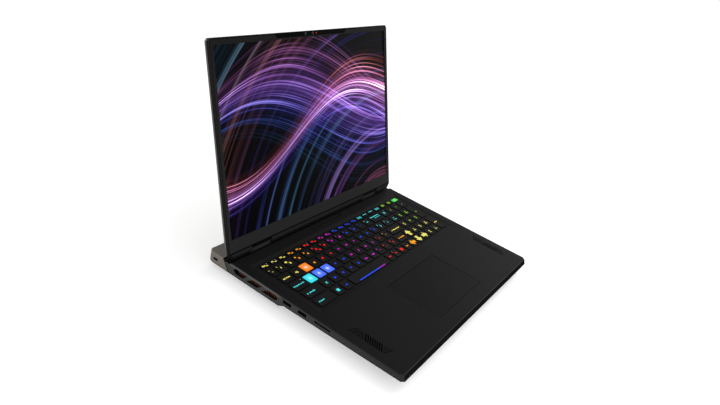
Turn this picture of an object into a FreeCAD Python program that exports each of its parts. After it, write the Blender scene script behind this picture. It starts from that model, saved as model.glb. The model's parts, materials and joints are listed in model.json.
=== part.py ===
import FreeCAD
import Part
import math
import os

# A seventeen inch laptop computer, modelled in millimetres as an assembly of separate pieces.
# X points to the user's right, Y away from the user and Z up. While modelling, Y runs from the
# front edge of the deck and Z from the table. Saving moves each piece to the frame's origin,
# which lies on the table under the middle of the whole outline.

# Keyboard
KEY_PITCH = 18.2            # letter key to letter key
ROW_PITCH = 18.32           # key row to key row
FUNCTION_ROW = 10.3         # depth of the row of function keys
LETTER_ROWS = 5             # rows in front of the function keys
FUNCTION_KEYS = 16          # function keys over the main block
NUMBER_KEYS = 12            # equal keys of the number row
UPPER_KEYS = 10             # equal keys right of W
HOME_KEYS = 8               # equal keys right of D
LOWER_KEYS = 10             # equal keys between the shift keys
LEFT_KEYS = 2               # equal keys left of the space bar
SMALL_KEYS = 4              # small keys right of the space bar
PAD_COLUMNS = 4
TALL_ROWS = 2               # rows covered by a tall key of the number pad
PAD_PITCH = 18.05           # number pad column to column
GRAVE_SLOT = 12.9
BACKSPACE_SLOT = 31.2
TAB_SLOT = 22.05
CAPS_SLOT = 26.1
SHIFT_SLOT = 36.1
SMALL_SLOT = 15.9
KEY_GAP = 2.8               # between neighbouring caps
KEY_PLAY = 0.45             # cap to the edge of its hole in the pocket floor
KEY_CORNER = 2.0
KEY_BEVEL = 0.35
KEY_CAP = 2.8               # height of a cap
KEY_RISE = 1.2              # cap top above the keyboard pocket
KEY_TRAVEL = 1.6
KEY_REST_GAP = 0.3          # left under a cap that is pressed home
STEM_RADIUS = 1.6
STEM_GUIDE = 0.7            # stem held in the tray when the key is up
STEM_CLEARANCE = 0.3
LONG_KEY = 40.0             # a longer cap has a stem near each end too
LONG_KEY_STEM = 12.0        # outer stem to the end of a long cap
KEYBOARD_BACK = 22.9        # key field to the hinge trough
POCKET_SIDE = 8.0           # pocket beyond the key field at each side
POCKET_FRONT = 5.4          # pocket beyond the key field at the front
POCKET_BACK = 6.4           # and at the back
POCKET_SLOPE = 4.6
POCKET_DEPTH = 1.0
TRAY_PLATE = 1.0
TRAY_RIM = 2.0
TRAY_FLANGE = 3.6           # tray beyond the key field

# Lid and screen
DECK_MARGIN = 22.65         # key field to the side of the base
LID_SIDE = 6.5              # lid beyond the screen at each side
SCREEN_HEIGHT = 230.5
LID_BROW = 8.1              # lid above the screen
LID_CHIN = 19.9             # hinge axis to the screen
LID_TAIL = 4.0              # lid below the hinge axis
LID_THICKNESS = 7.0
LID_WALL = 1.4
LID_BACK_PLATE = 1.2
LID_CORNER = 3.2            # cut at the upper corners of the lid
LID_FOOT_CORNER = 6.5       # and at the lower ones
LID_EDGE = 0.8
LID_OPEN_ANGLE = 108.9
LID_GAP = 0.8               # closed lid above the deck
AXIS_SHIFT = 0.2            # hinge axis behind the middle of the lid's thickness
LID_SETBACK = 0.1           # closed lid behind the front edge of the base
RIM_DEPTH = 3.75            # dark rim, front to back
RIM_WIDTH = 5.0
RIM_LIP = 0.6
RIM_BAR = 5.2               # top of the rim's lower bar above the hinge axis
GASKET_WIDTH = 1.1
GASKET_INSET = 0.1
BEZEL_PLATE = 1.4
BEZEL_START = 3.6           # lower edge of the bezel above the hinge axis
SEAM = 0.1                  # fitting gap between neighbouring lid pieces
STRIP_GROOVE = 1.0          # groove between the bezel and the hinge strip
STRIP_PLATE = 1.2
PANEL_MARGIN = 1.3          # panel behind the edge of the window
PANEL_PLATE = 3.0
CAMERA_BAR_HALF = 76.5
CAMERA_BAR_HEIGHT = 6.2
CAMERA_BAR_SLANT = 3.2
CAMERA_BAR_PROUD = 0.4
CAMERA_RADIUS = 1.9
CAMERA_DEPTH = 1.2
CAMERA_PLACES = (-16.8, -1.2)
LIGHT_RADIUS = 1.0
LIGHT_PLACES = (6.8, 17.2)
MICROPHONE_RADIUS = 0.5
MICROPHONE_PLACE = 28.0
LENS_DROP = 3.2             # lens row below the top of the lid

# Hinges
NOTCH_INNER = 110.8
NOTCH_LENGTH = 38.6
NOTCH_TOP = 3.4
KNUCKLE_RADIUS = 3.0
KNUCKLE_CLEARANCE = 0.4
KNUCKLE_WEB = 4.4
PIN_RADIUS = 1.3
PIN_FIT = 0.05
PIN_SOCKET = 6.8            # pin held in each eye of the lid bracket
EYE_GAP = 0.1
EYE_LENGTH = 7.2
LEAF_PLATE = 1.5
LEAF_START = 5.0
LEAF_END = 15.0
FOOT_PLATE = 1.5
FOOT_FORWARD = 16.0
FOOT_BEHIND = 1.6
FOOT_OVERHANG = 5.0
TROUGH_AHEAD = 7.6          # hinge axis to the deck's rear edge
TROUGH_BEHIND = 4.9         # hinge axis to the exhaust block
TROUGH_DEPTH = 2.6
TROUGH_SLOPE = 2.4          # run of the trough's sloping front face

# Base shell
FOOT_HEIGHT = 2.0           # rear underside above the table
BODY_REAR = 20.0            # underside to deck behind the step
BODY_FRONT = 16.4           # underside to deck ahead of the step
DECK_PLATE = 2.0
SIDE_WALL = 1.8
DECK_BEVEL = 0.8
FRONT_CORNER = 3.5
FRONT_SLOPE = 0.43          # run of the leaning front wall for each unit of drop
REAR_CORNER = 5.0
SIDE_DEPTH_FRONT = 7.0      # side wall below the deck at the front
SIDE_DEPTH_STEP = 9.8       # and ahead of the step
SIDE_DEPTH_REAR = 13.6      # and behind the step
STEP_AHEAD = 93.8           # hinge axis to the start of the step
STEP_RUN = 6.9
SEAM_RUN = 10.8             # slant of the seam ahead of the exhaust block
SEAM_GAP = 0.7
BLOCK_DEPTH = 25.7
BLOCK_WALL = 2.4
BLOCK_TUCK_RUN = 7.0
BLOCK_TUCK_RISE = 2.0
COVER_LIP = 0.8
COVER_WALL = 1.6
COVER_SLOPE = 1.8           # run of the sloping underside for each unit of rise
COVER_TIP = 0.6
COVER_NOSE = 3.0
COVER_FRONT_RUN = 26.0
COVER_REAR_RUN = 26.0
CREST_HALF = 38.5           # shallow recess at the middle of the deck's rear edge
CREST_DEPTH = 7.4
CREST_SLANT = 4.0
CREST_SUNK = 0.5
CREST_GROOVE = 1.0          # groove along the border of the recess
CREST_GROOVE_SUNK = 1.3

# Side vents, each outline as distances ahead of the hinge axis and below the deck
VENT_OUTLINES = (
    ((12.6, 6.4), (15.4, 3.2), (35.4, 3.2), (29.2, 9.9), (16.2, 9.9)),
    ((34.9, 9.9), (44.4, 3.2), (59.9, 3.2), (51.9, 9.9)),
    ((59.4, 9.9), (69.0, 3.2), (81.9, 3.2), (84.6, 7.0), (81.1, 9.9)),
)

# Speakers and their grilles
GRILLE_OUTER = 14.5         # grille to the side of the base
GRILLE_WIDTH = 12.0
SLIT_PITCH = 3.08           # middle slits, slanting inwards to the rear
SLIT_WIDTH = 1.7
SLIT_COUNT = 8
SLIT_START = 36.0           # front edge of the base to the first of them
SLIT_RISE = 6.6
END_PITCH = 3.25            # end slits, slanting the other way
END_WIDTH = 1.2
END_RISE = -6.4
END_GROUPS = ((34.2, 4), (63.6, 7))     # start and number of the front and the rear group
SLIT_LAND = 1.1             # left standing between the middle and the end slits
SPEAKER_FRONT = 28.0
SPEAKER_HEIGHT = 9.0
SPEAKER_OUTER = 15.5
SPEAKER_WIDTH = 22.0
SPEAKER_GAP = 7.0           # to the card reader behind it

# Touchpad
PAD_WIDTH = 123.6
PAD_DEPTH = 78.2
PALM_SHARE = 0.43           # part of the palm rest's free depth that lies ahead of the pad
PAD_PLATE = 1.4
PAD_SUNK = 0.15
PAD_CORNER = 1.5
PAD_GAP = 0.5
PAD_CLICK = 0.7             # travel of the pad's front edge
PIVOT_RADIUS = 0.9
PIVOT_INSET = 3.0
PIVOT_SUNK = 0.5
PIVOT_HALF = 50.0
LUG_HALF = 3.0
LUG_PLACE = 44.0
LUG_WRAP = 0.2
BRACKET_PLATE = 1.0
BRACKET_DROP = 3.6          # top of the bracket's floor below the deck
BRACKET_RIM = 3.0
SWITCH_RADIUS = 2.5
SWITCH_INSET = 8.0

# Ports
PORT_SHELL = 0.3
USB_WIDTH = 12.5
USB_HEIGHT = 4.4
USB_DEPTH = 14.0
USB_AHEAD = (98.4, 121.3)
TONGUE_HEIGHT = 1.7
TONGUE_MARGIN = 1.0
TONGUE_SETBACK = 1.5
CARD_WIDTH = 23.2
CARD_HEIGHT = 2.4
CARD_DEPTH = 22.0
CARD_SHELL = 0.6
CARD_AHEAD = 150.7
LOCK_AHEAD = -17.2
LOCK_WIDTH = 6.7
LOCK_HEIGHT = 2.9
LOCK_DROP = 7.6
REAR_PORT_DROP = 9.0
REAR_PORT_DEPTH = 13.0
INLET_PLACE = 44.0
INLET_WIDTH = 11.0
INLET_HEIGHT = 4.8
REAR_PORTS = ((14.0, 14.0, 4.6), (-14.0, 9.0, 3.2), (-34.0, 9.0, 3.2))

# Boards and cooling
BOARD_CLEARANCE = 1.0       # main board below the stems of pressed keys
BOARD_PLATE = 1.2
BOARD_SIDE = 8.0            # main board to each fan
BOARD_AHEAD = 146.0
BOARD_BACK = 12.6
STANDOFF_RADIUS = 2.5
STANDOFF_INSET = 6.5
CHIP_HEIGHT = 2.0
CHIP_SPANS = ((-46.0, -14.0), (12.0, 52.0))
PIPE_WIDTH = 7.0
PIPE_HEIGHT = 3.0
PIPE_AHEAD = (74.6, 83.1)
PIPE_HALF = 120.0           # front pipe
PIPE_END = 12.0             # rear pipe to the side of the base
PIPE_SPAN = 15.5            # both pipes, front to back
PIPE_NOTCH_GAP = 0.3        # pipe to the notch in the side fins
MEMORY_SPAN = (4.0, 72.0)
MEMORY_AHEAD = (120.6, 142.6)
MEMORY_HEIGHT = 1.8
DRIVE_SPAN = (8.0, 88.0)
DRIVE_AHEAD = (96.6, 118.6)
DRIVE_HEIGHT = 1.6
FAN_SIZE = 58.0
FAN_OUTER = 18.0            # fan to the side of the base
FAN_BACK = 15.6             # hinge axis to the back of the fan
FAN_HEIGHT = 9.0
FAN_PLATE = 1.0
FAN_CHAMBER = 26.5
FAN_INLET = 18.0
FAN_SEAT = 7.0
FAN_SPOKE = 3.0
FAN_SPOKES = 3
SPINDLE_RADIUS = 1.5
SPINDLE_FIT = 0.05
ROTOR_HUB = 8.0
ROTOR_TIP = 25.0
ROTOR_GAP = 0.5
ROTOR_BLADES = 23
BLADE_THICKNESS = 0.8
BLADE_SWEEP = 25.0
FIN_PITCH = 3.0
FIN_THICKNESS = 0.9
FIN_SPINE = 0.8
SIDE_FIN_DEPTH = 10.7
SIDE_FIN_HEIGHT = 13.0
SIDE_FIN_GAP = 4.0          # side wall to the side fins
SIDE_FIN_AHEAD = (17.2, 84.5)
REAR_FIN_SPAN = (66.0, 176.0)
REAR_FIN_DEPTH = 15.0
REAR_FIN_GAP = 0.4
REAR_FIN_HEIGHT = 8.4
GRILLE_PITCH = 6.0
GRILLE_SLOT = 4.0
GRILLE_SLOTS = 17
GRILLE_START = 70.0
GRILLE_DROP = (5.2, 10.8)
INTAKE_PITCH = 6.0
INTAKE_SLOT = 3.0
INTAKE_SLOTS = 8
INTAKE_LENGTH = 42.0

# Battery, fixings and feet
BATTERY_FRONT = 28.0
BATTERY_HEIGHT = 7.8
BATTERY_GAP = 5.0
BOSS_RADIUS = 3.0
SCREW_RADIUS = 1.2
SCREW_FIT = 0.05
SCREW_LENGTH = 6.0
SCREW_HEAD_RADIUS = 2.4
SCREW_HEAD_HEIGHT = 0.9
SCREW_HEAD_FIT = 0.2
SOCKET_RADIUS = 0.9
SOCKET_DEPTH = 0.5
BOSS_SIDE = 44.0            # front and middle bosses to the side of the base
BOSS_SIDE_REAR = 22.0
BOSS_FRONT = 34.0
BOSS_MIDDLE_AHEAD = 154.6
BOSS_REAR_AHEAD = 11.6
FRONT_FOOT_SPAN = (60.0, 136.0)
FRONT_FOOT_Y = 30.0
FOOT_WIDTH = 10.0
REAR_FOOT_HALF = 150.0
REAR_FOOT_AHEAD = 12.6

# Places worked out from the sizes above
DECK_HEIGHT = FOOT_HEIGHT + BODY_REAR
UNDERSIDE_REAR = FOOT_HEIGHT
UNDERSIDE_FRONT = DECK_HEIGHT - BODY_FRONT
MAIN_WIDTH = GRAVE_SLOT + NUMBER_KEYS * KEY_PITCH + BACKSPACE_SLOT
FIELD_HALF = (MAIN_WIDTH + PAD_COLUMNS * PAD_PITCH) / 2
BASE_HALF = FIELD_HALF + DECK_MARGIN
SCREEN_HALF = BASE_HALF - LID_SIDE
LID_TOP = LID_CHIN + SCREEN_HEIGHT + LID_BROW
LID_FRONT = -LID_THICKNESS / 2 - AXIS_SHIFT
LID_BACK = LID_FRONT + LID_THICKNESS
HINGE_RISE = LID_GAP - LID_FRONT
LEAF_BACK = LID_BACK - LID_BACK_PLATE
LEAF_FRONT = LEAF_BACK - LEAF_PLATE
EYE_RADIUS = LEAF_BACK - EYE_GAP
LID_SPLIT = LID_FRONT + RIM_DEPTH
NOTCH_OUTER = NOTCH_INNER + NOTCH_LENGTH
HINGE_Y = LID_TOP + LID_SETBACK
HINGE_Z = DECK_HEIGHT + HINGE_RISE
TROUGH_FRONT = HINGE_Y - TROUGH_AHEAD
TROUGH_REAR = HINGE_Y + TROUGH_BEHIND
TROUGH_FLOOR = DECK_HEIGHT - TROUGH_DEPTH
TROUGH_UNDER = TROUGH_FLOOR - DECK_PLATE
BASE_DEPTH = TROUGH_REAR + BLOCK_DEPTH
BLOCK_LOW = DECK_HEIGHT - SIDE_DEPTH_REAR
FRONT_FOOT = -FRONT_SLOPE * SIDE_DEPTH_FRONT
STEP_START = HINGE_Y - STEP_AHEAD
STEP_END = STEP_START + STEP_RUN
DECK_UNDER = DECK_HEIGHT - DECK_PLATE
FLOOR_FRONT = UNDERSIDE_FRONT + COVER_WALL
FLOOR_REAR = UNDERSIDE_REAR + COVER_WALL
KEYS_BACK = TROUGH_FRONT - KEYBOARD_BACK
KEYS_FRONT = KEYS_BACK - FUNCTION_ROW - LETTER_ROWS * ROW_PITCH
KEY_TOP = DECK_HEIGHT - POCKET_DEPTH + KEY_RISE
KEY_LOW = KEY_TOP - KEY_CAP
TRAY_TOP = KEY_LOW - KEY_TRAVEL - KEY_REST_GAP
PAD_FRONT = PALM_SHARE * (KEYS_FRONT - PAD_DEPTH)
PAD_TOP = DECK_HEIGHT - PAD_SUNK
PAD_LOW = PAD_TOP - PAD_PLATE
PIVOT_Y = PAD_FRONT + PAD_DEPTH - PIVOT_INSET
PIVOT_Z = PAD_LOW - PIVOT_SUNK
BRACKET_TOP = DECK_HEIGHT - BRACKET_DROP
BOARD_TOP = TRAY_TOP - STEM_GUIDE - KEY_TRAVEL - BOARD_CLEARANCE
BOARD_LOW = BOARD_TOP - BOARD_PLATE
CHIP_LOW = BOARD_LOW - CHIP_HEIGHT
PIPE_LOW = CHIP_LOW - PIPE_HEIGHT
USB_Z = DECK_UNDER - PORT_SHELL - USB_HEIGHT / 2
CARD_Z = DECK_UNDER - CARD_SHELL - CARD_HEIGHT / 2
FAN_X = BASE_HALF - FAN_OUTER - FAN_SIZE / 2
FAN_Y = HINGE_Y - FAN_BACK - FAN_SIZE / 2
FAN_TOP = FLOOR_REAR + FAN_HEIGHT
BOARD_HALF = FAN_X - FAN_SIZE / 2 - BOARD_SIDE
BOSSES = (
    (BASE_HALF - BOSS_SIDE, BOSS_FRONT, UNDERSIDE_FRONT),
    (BASE_HALF - BOSS_SIDE, HINGE_Y - BOSS_MIDDLE_AHEAD, UNDERSIDE_FRONT),
    (BASE_HALF - BOSS_SIDE_REAR, HINGE_Y - BOSS_REAR_AHEAD, UNDERSIDE_REAR),
)
LEAN = math.radians(LID_OPEN_ANGLE - 90.0)
REACH = HINGE_Y + (LID_TOP - LID_EDGE) * math.sin(LEAN) + LID_BACK * math.cos(LEAN)
FRAME_SHIFT = FreeCAD.Vector(0.0, -(FRONT_FOOT + REACH) / 2, 0.0)
OVER = 1.0                  # cutters run past the faces that they cut


def box(x0, x1, y0, y1, z0, z1):
    return Part.makeBox(x1 - x0, y1 - y0, z1 - z0, FreeCAD.Vector(x0, y0, z0))


def along(axis, length):
    """A vector of one length along the named axis."""
    return FreeCAD.Vector(*[length if name == axis else 0.0 for name in "xyz"])


def on_plane(axis, height, a, b):
    """A point at a height along the named axis; a and b are its other coordinates in XYZ order."""
    values = [a, b]
    values.insert("xyz".index(axis), height)
    return FreeCAD.Vector(*values)


def prism(points, axis, start, end):
    """A closed outline, drawn across the named axis and carried along it."""
    corners = [on_plane(axis, start, a, b) for a, b in points]
    face = Part.Face(Part.makePolygon(corners + corners[:1]))
    return face.extrude(along(axis, end - start))


def rod(axis, start, end, a, b, radius):
    """A cylinder along the named axis, round the point (a, b) of its other coordinates."""
    return Part.makeCylinder(radius, end - start, on_plane(axis, start, a, b), along(axis, 1.0))


def rounded(x0, x1, y0, y1, z0, z1, radius):
    """A block with its four upright edges rounded."""
    block = box(x0, x1, y0, y1, z0, z1)
    upright = [edge for edge in block.Edges if abs(edge.tangentAt(edge.FirstParameter).z) > 0.9]
    return block.makeFillet(radius, upright)


def edges_at(shape, axis, height):
    """The edges of a shape that lie flat at a height along the named axis."""
    found = []
    for edge in shape.Edges:
        if all(abs(getattr(vertex.Point, axis) - height) < 1e-6 for vertex in edge.Vertexes):
            found.append(edge)
    return found


def mirrored(shape):
    return shape.mirror(FreeCAD.Vector(0, 0, 0), FreeCAD.Vector(1, 0, 0))


def both(shapes):
    """The shapes and their mirror images on the other side of the laptop."""
    return list(shapes) + [mirrored(shape) for shape in shapes]


def cut_corner(cut, inset):
    """Length of a corner cut on an outline that lies inset from the outer one."""
    return cut - inset * (2.0 - math.sqrt(2.0))


def save(name, *shapes):
    """Write one node's solids, moved to the frame's origin."""
    solids = [solid for shape in shapes for solid in shape.Solids]
    node = solids[0] if len(solids) == 1 else Part.makeCompound(solids)
    node = node.copy()
    node.translate(FRAME_SHIFT)
    node.exportStep("parts/" + name + ".step")


def skin(sections):
    """A solid with flat faces over a row of cross-sections, each a list of corners."""
    outlines = [sections[0], sections[-1]]
    for near, far in zip(sections, sections[1:]):
        for place in range(len(near)):
            outlines.append([near[place - 1], near[place], far[place], far[place - 1]])
    faces = [Part.Face(Part.makePolygon(corners + corners[:1])) for corners in outlines]
    return Part.makeSolid(Part.Shell(faces))


def side_low(y):
    """Height of the side wall's lower edge."""
    if y <= STEP_START:
        fall = (SIDE_DEPTH_STEP - SIDE_DEPTH_FRONT) / (STEP_START - FRONT_FOOT)
        return DECK_HEIGHT - SIDE_DEPTH_FRONT - fall * (y - FRONT_FOOT)
    return BLOCK_LOW


def base_outline(inset, z):
    """Corners of the base's outline at a height; the front wall leans out towards its foot."""
    half = BASE_HALF - inset
    front = inset - FRONT_SLOPE * (DECK_HEIGHT - z)
    back = BASE_DEPTH - inset
    front_cut = cut_corner(FRONT_CORNER, inset)
    rear_cut = cut_corner(REAR_CORNER, inset)
    right = [(half - front_cut, front), (half, front + front_cut),
             (half, back - rear_cut), (half - rear_cut, back)]
    points = right + [(-x, y) for x, y in reversed(right)]
    return [FreeCAD.Vector(x, y, z) for x, y in points]


def base_outside(low):
    """The base's whole outline from a height up to the deck, with its upper edge bevelled."""
    levels = ((0.0, low), (0.0, DECK_HEIGHT - DECK_BEVEL), (DECK_BEVEL, DECK_HEIGHT))
    return skin([base_outline(inset, z) for inset, z in levels])


def base_inside(wall, low, high):
    """The room inside the base's walls from one height to another."""
    return skin([base_outline(wall, z) for z in (low, high)])


def trough_cutters():
    """The trough that the lid's lower edge turns in, with a slot in its floor for each hinge."""
    half = BASE_HALF + OVER
    top = DECK_HEIGHT + OVER
    profile = [(TROUGH_FRONT, top), (TROUGH_FRONT, DECK_HEIGHT),
               (TROUGH_FRONT + TROUGH_SLOPE, TROUGH_FLOOR), (TROUGH_REAR, TROUGH_FLOOR), (TROUGH_REAR, top)]
    trough = prism(profile, "x", -half, half)
    slot_half = KNUCKLE_WEB / 2 + KNUCKLE_CLEARANCE
    slot = box(NOTCH_INNER, NOTCH_OUTER, HINGE_Y - slot_half, HINGE_Y + slot_half,
               TROUGH_UNDER - OVER, TROUGH_FLOOR + OVER)
    return [trough] + both([slot])


def crest_block(inset, low):
    """The room over the recess at the middle of the deck's rear edge, down to a height."""
    front = TROUGH_FRONT - CREST_DEPTH + inset
    back = TROUGH_FRONT + OVER
    wide = CREST_HALF - inset
    narrow = wide - CREST_SLANT
    outline = [(-narrow, front), (narrow, front), (wide, back), (-wide, back)]
    return prism(outline, "z", low, DECK_HEIGHT + OVER)


def crest_cutters():
    """That recess, and the deeper groove along its border."""
    groove = crest_block(0.0, DECK_HEIGHT - CREST_GROOVE_SUNK)
    floor = crest_block(CREST_GROOVE, DECK_UNDER)
    return [crest_block(0.0, DECK_HEIGHT - CREST_SUNK), groove.cut(floor)]


def pocket_cutters():
    """The shallow pocket with sloping sides round the keys, and a hole in its floor for each key."""
    loops = []
    for inset, height in ((0.0, DECK_HEIGHT), (POCKET_SLOPE, DECK_HEIGHT - POCKET_DEPTH)):
        x = FIELD_HALF + POCKET_SIDE - inset
        front = KEYS_FRONT - POCKET_FRONT + inset
        back = KEYS_BACK + POCKET_BACK - inset
        corners = [(-x, front), (x, front), (x, back), (-x, back), (-x, front)]
        loops.append(Part.makePolygon([FreeCAD.Vector(a, b, height) for a, b in corners]))
    pocket = Part.makeLoft(loops, True, True)
    inset = KEY_GAP / 2 - KEY_PLAY
    holes = []
    for node, x0, x1, y0, y1 in key_slots():
        holes.append(rounded(x0 + inset, x1 - inset, y0 + inset, y1 - inset,
                             DECK_UNDER - OVER, DECK_HEIGHT + OVER, KEY_CORNER + KEY_PLAY))
    return [pocket] + holes


def slanted_slit(y, width, rise):
    """A slit across the right grille; its inner end lies further back by the rise."""
    inner = BASE_HALF - GRILLE_OUTER - GRILLE_WIDTH
    outer = BASE_HALF - GRILLE_OUTER
    outline = [(outer, y), (outer, y + width), (inner, y + rise + width), (inner, y + rise)]
    return prism(outline, "z", DECK_UNDER - OVER, DECK_HEIGHT + OVER)


def grille_cutters():
    """The slits over the right speaker; the end slits stop short of the middle ones."""
    middle = [slanted_slit(SLIT_START + number * SLIT_PITCH, SLIT_WIDTH, SLIT_RISE)
              for number in range(SLIT_COUNT)]
    length = (SLIT_COUNT - 1) * SLIT_PITCH + SLIT_WIDTH
    kept = slanted_slit(SLIT_START - SLIT_LAND, length + 2 * SLIT_LAND, SLIT_RISE)
    ends = []
    for start, count in END_GROUPS:
        for number in range(count):
            ends.append(slanted_slit(start + number * END_PITCH, END_WIDTH, END_RISE).cut(kept))
    return middle + ends


def vent_cutters():
    """The three vents in the right side wall."""
    start = BASE_HALF - SIDE_WALL - OVER
    vents = []
    for outline in VENT_OUTLINES:
        points = [(HINGE_Y - ahead, DECK_HEIGHT - drop) for ahead, drop in outline]
        vents.append(prism(points, "x", start, BASE_HALF + OVER))
    return vents


def left_cutters():
    """The openings of the ports in the left side wall."""
    ports = [(ahead, USB_Z, USB_WIDTH, USB_HEIGHT) for ahead in USB_AHEAD]
    ports.append((CARD_AHEAD, CARD_Z, CARD_WIDTH, CARD_HEIGHT))
    cutters = []
    for ahead, z, width, height in ports:
        y = HINGE_Y - ahead
        cutters.append(box(-BASE_HALF - OVER, OVER + SIDE_WALL - BASE_HALF,
                           y - width / 2, y + width / 2, z - height / 2, z + height / 2))
    return cutters


def make_top_case():
    outer = base_outside(BLOCK_LOW - OVER)
    cavity = base_inside(SIDE_WALL, BLOCK_LOW - OVER - OVER, DECK_UNDER)
    ledge = box(SIDE_WALL - BASE_HALF, BASE_HALF - SIDE_WALL, TROUGH_FRONT - SIDE_WALL, TROUGH_REAR,
                TROUGH_UNDER, DECK_UNDER)
    front = FRONT_FOOT - OVER
    profile = [(front, DECK_HEIGHT), (TROUGH_REAR, DECK_HEIGHT), (TROUGH_REAR - SEAM_RUN, BLOCK_LOW),
               (STEP_END, BLOCK_LOW), (STEP_START, side_low(STEP_START)), (front, side_low(front))]
    half = BASE_HALF + OVER
    case = outer.cut(cavity).fuse(ledge).common(prism(profile, "x", -half, half))
    posts = []
    holes = []
    for x, y, under in BOSSES:
        posts.append(rod("z", under + COVER_WALL, DECK_UNDER, x, y, BOSS_RADIUS))
        holes.append(rod("z", under, under + SCREW_HEAD_HEIGHT + SCREW_LENGTH, x, y,
                         SCREW_RADIUS + SCREW_FIT))
    case = case.fuse(both(posts))
    pad_half = PAD_WIDTH / 2 + PAD_GAP
    pad_hole = rounded(-pad_half, pad_half, PAD_FRONT - PAD_GAP, PAD_FRONT + PAD_DEPTH + PAD_GAP,
                       DECK_UNDER - OVER, DECK_HEIGHT + OVER, PAD_CORNER + PAD_GAP)
    cutters = trough_cutters() + [pad_hole] + crest_cutters() + pocket_cutters() + left_cutters()
    cutters += both(grille_cutters() + vent_cutters() + holes)
    return case.cut(cutters)


def make_rear_block():
    outer = base_outside(BLOCK_LOW)
    profile = [(TROUGH_REAR + SEAM_GAP, DECK_HEIGHT), (BASE_DEPTH + OVER, DECK_HEIGHT),
               (BASE_DEPTH + OVER, BLOCK_LOW + BLOCK_TUCK_RISE), (BASE_DEPTH, BLOCK_LOW + BLOCK_TUCK_RISE),
               (BASE_DEPTH - BLOCK_TUCK_RUN, BLOCK_LOW), (TROUGH_REAR + SEAM_GAP - SEAM_RUN, BLOCK_LOW)]
    half = BASE_HALF + OVER
    cavity = base_inside(BLOCK_WALL, BLOCK_LOW - OVER, TROUGH_UNDER)
    block = outer.common(prism(profile, "x", -half, half)).cut(cavity)
    lock_y = HINGE_Y - LOCK_AHEAD
    lock_z = DECK_HEIGHT - LOCK_DROP
    lock = box(-half, OVER + BLOCK_WALL - BASE_HALF, lock_y - LOCK_WIDTH / 2, lock_y + LOCK_WIDTH / 2,
               lock_z - LOCK_HEIGHT / 2, lock_z + LOCK_HEIGHT / 2)
    back = BASE_DEPTH - BLOCK_WALL - OVER
    slots = []
    for number in range(GRILLE_SLOTS):
        x = GRILLE_START + number * GRILLE_PITCH
        slots.append(box(x, x + GRILLE_SLOT, back, BASE_DEPTH + OVER,
                         DECK_HEIGHT - GRILLE_DROP[1], DECK_HEIGHT - GRILLE_DROP[0]))
    z = DECK_HEIGHT - REAR_PORT_DROP
    openings = []
    for x, width, height in REAR_PORTS + ((INLET_PLACE, INLET_WIDTH, INLET_HEIGHT),):
        openings.append(box(x - width / 2, x + width / 2, back, BASE_DEPTH + OVER,
                            z - height / 2, z + height / 2))
    return block.cut(trough_cutters() + [lock] + both(slots) + openings)


def cover_section(y, half, top, ledge, low):
    """Corners of one cross-section of the bottom cover: upright lip, slope and flat underside."""
    inset = (ledge - low) * COVER_SLOPE
    right = [(half, top), (half, ledge), (half - inset, low)]
    points = right + [(-x, z) for x, z in reversed(right)]
    return [FreeCAD.Vector(x, y, z) for x, z in points]


def make_bottom_cover():
    nose = FRONT_FOOT + FRONT_CORNER
    stations = [
        (nose, side_low(nose) - COVER_LIP - COVER_NOSE),
        (COVER_FRONT_RUN, UNDERSIDE_FRONT),
        (STEP_START, UNDERSIDE_FRONT),
        (STEP_END, UNDERSIDE_REAR),
        (BASE_DEPTH - COVER_REAR_RUN, UNDERSIDE_REAR),
        (BASE_DEPTH - BLOCK_TUCK_RUN, BLOCK_LOW - COVER_LIP - COVER_NOSE),
    ]
    tip = side_low(FRONT_FOOT)
    outside = [cover_section(FRONT_FOOT, BASE_HALF - FRONT_CORNER, tip, tip - COVER_LIP,
                             tip - COVER_LIP - COVER_TIP)]
    inside = []
    for place, (y, low) in enumerate(stations):
        top = side_low(y)
        outside.append(cover_section(y, BASE_HALF, top, top - COVER_LIP, low))
        shift = {0: COVER_WALL, len(stations) - 1: -COVER_WALL}.get(place, 0.0)
        inside.append(cover_section(y + shift, BASE_HALF - COVER_WALL, top + OVER,
                                    top - COVER_LIP, low + COVER_WALL))
    cover = skin(outside).cut(skin(inside))
    x = BOARD_HALF - STANDOFF_INSET
    front = HINGE_Y - BOARD_AHEAD + STANDOFF_INSET
    back = HINGE_Y - BOARD_BACK - STANDOFF_INSET
    posts = [rod("z", FLOOR_FRONT, BOARD_LOW, x, front, STANDOFF_RADIUS),
             rod("z", FLOOR_REAR, BOARD_LOW, x, back, STANDOFF_RADIUS)]
    cover = cover.fuse(both(posts))
    cutters = []
    for x, y, under in BOSSES:
        cutters.append(rod("z", under - OVER, under + COVER_WALL + OVER, x, y, SCREW_RADIUS + SCREW_FIT))
        cutters.append(rod("z", under - OVER, under + SCREW_HEAD_HEIGHT, x, y,
                           SCREW_HEAD_RADIUS + SCREW_HEAD_FIT))
    first = FAN_X - (INTAKE_SLOTS - 1) * INTAKE_PITCH / 2
    for number in range(INTAKE_SLOTS):
        x = first + number * INTAKE_PITCH
        cutters.append(box(x - INTAKE_SLOT / 2, x + INTAKE_SLOT / 2,
                           FAN_Y - INTAKE_LENGTH / 2, FAN_Y + INTAKE_LENGTH / 2,
                           UNDERSIDE_REAR - OVER, FLOOR_REAR + OVER))
    return cover.cut(both(cutters))


def make_screws():
    screws = []
    for x, y, under in BOSSES:
        seat = under + SCREW_HEAD_HEIGHT
        head = rod("z", under, seat, x, y, SCREW_HEAD_RADIUS)
        shank = rod("z", seat, seat + SCREW_LENGTH, x, y, SCREW_RADIUS)
        socket = rod("z", under - OVER, under + SOCKET_DEPTH, x, y, SOCKET_RADIUS)
        screws.append(head.fuse(shank).cut(socket))
    return both(screws)


def run(node, width, count=1):
    """Equal keys side by side, as (node, slot width, rows covered)."""
    return [(node, width, 1)] * count


def left_over(keys):
    """Width of the main block that the given keys leave free."""
    return MAIN_WIDTH - sum(width for node, width, rows in keys)


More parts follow.
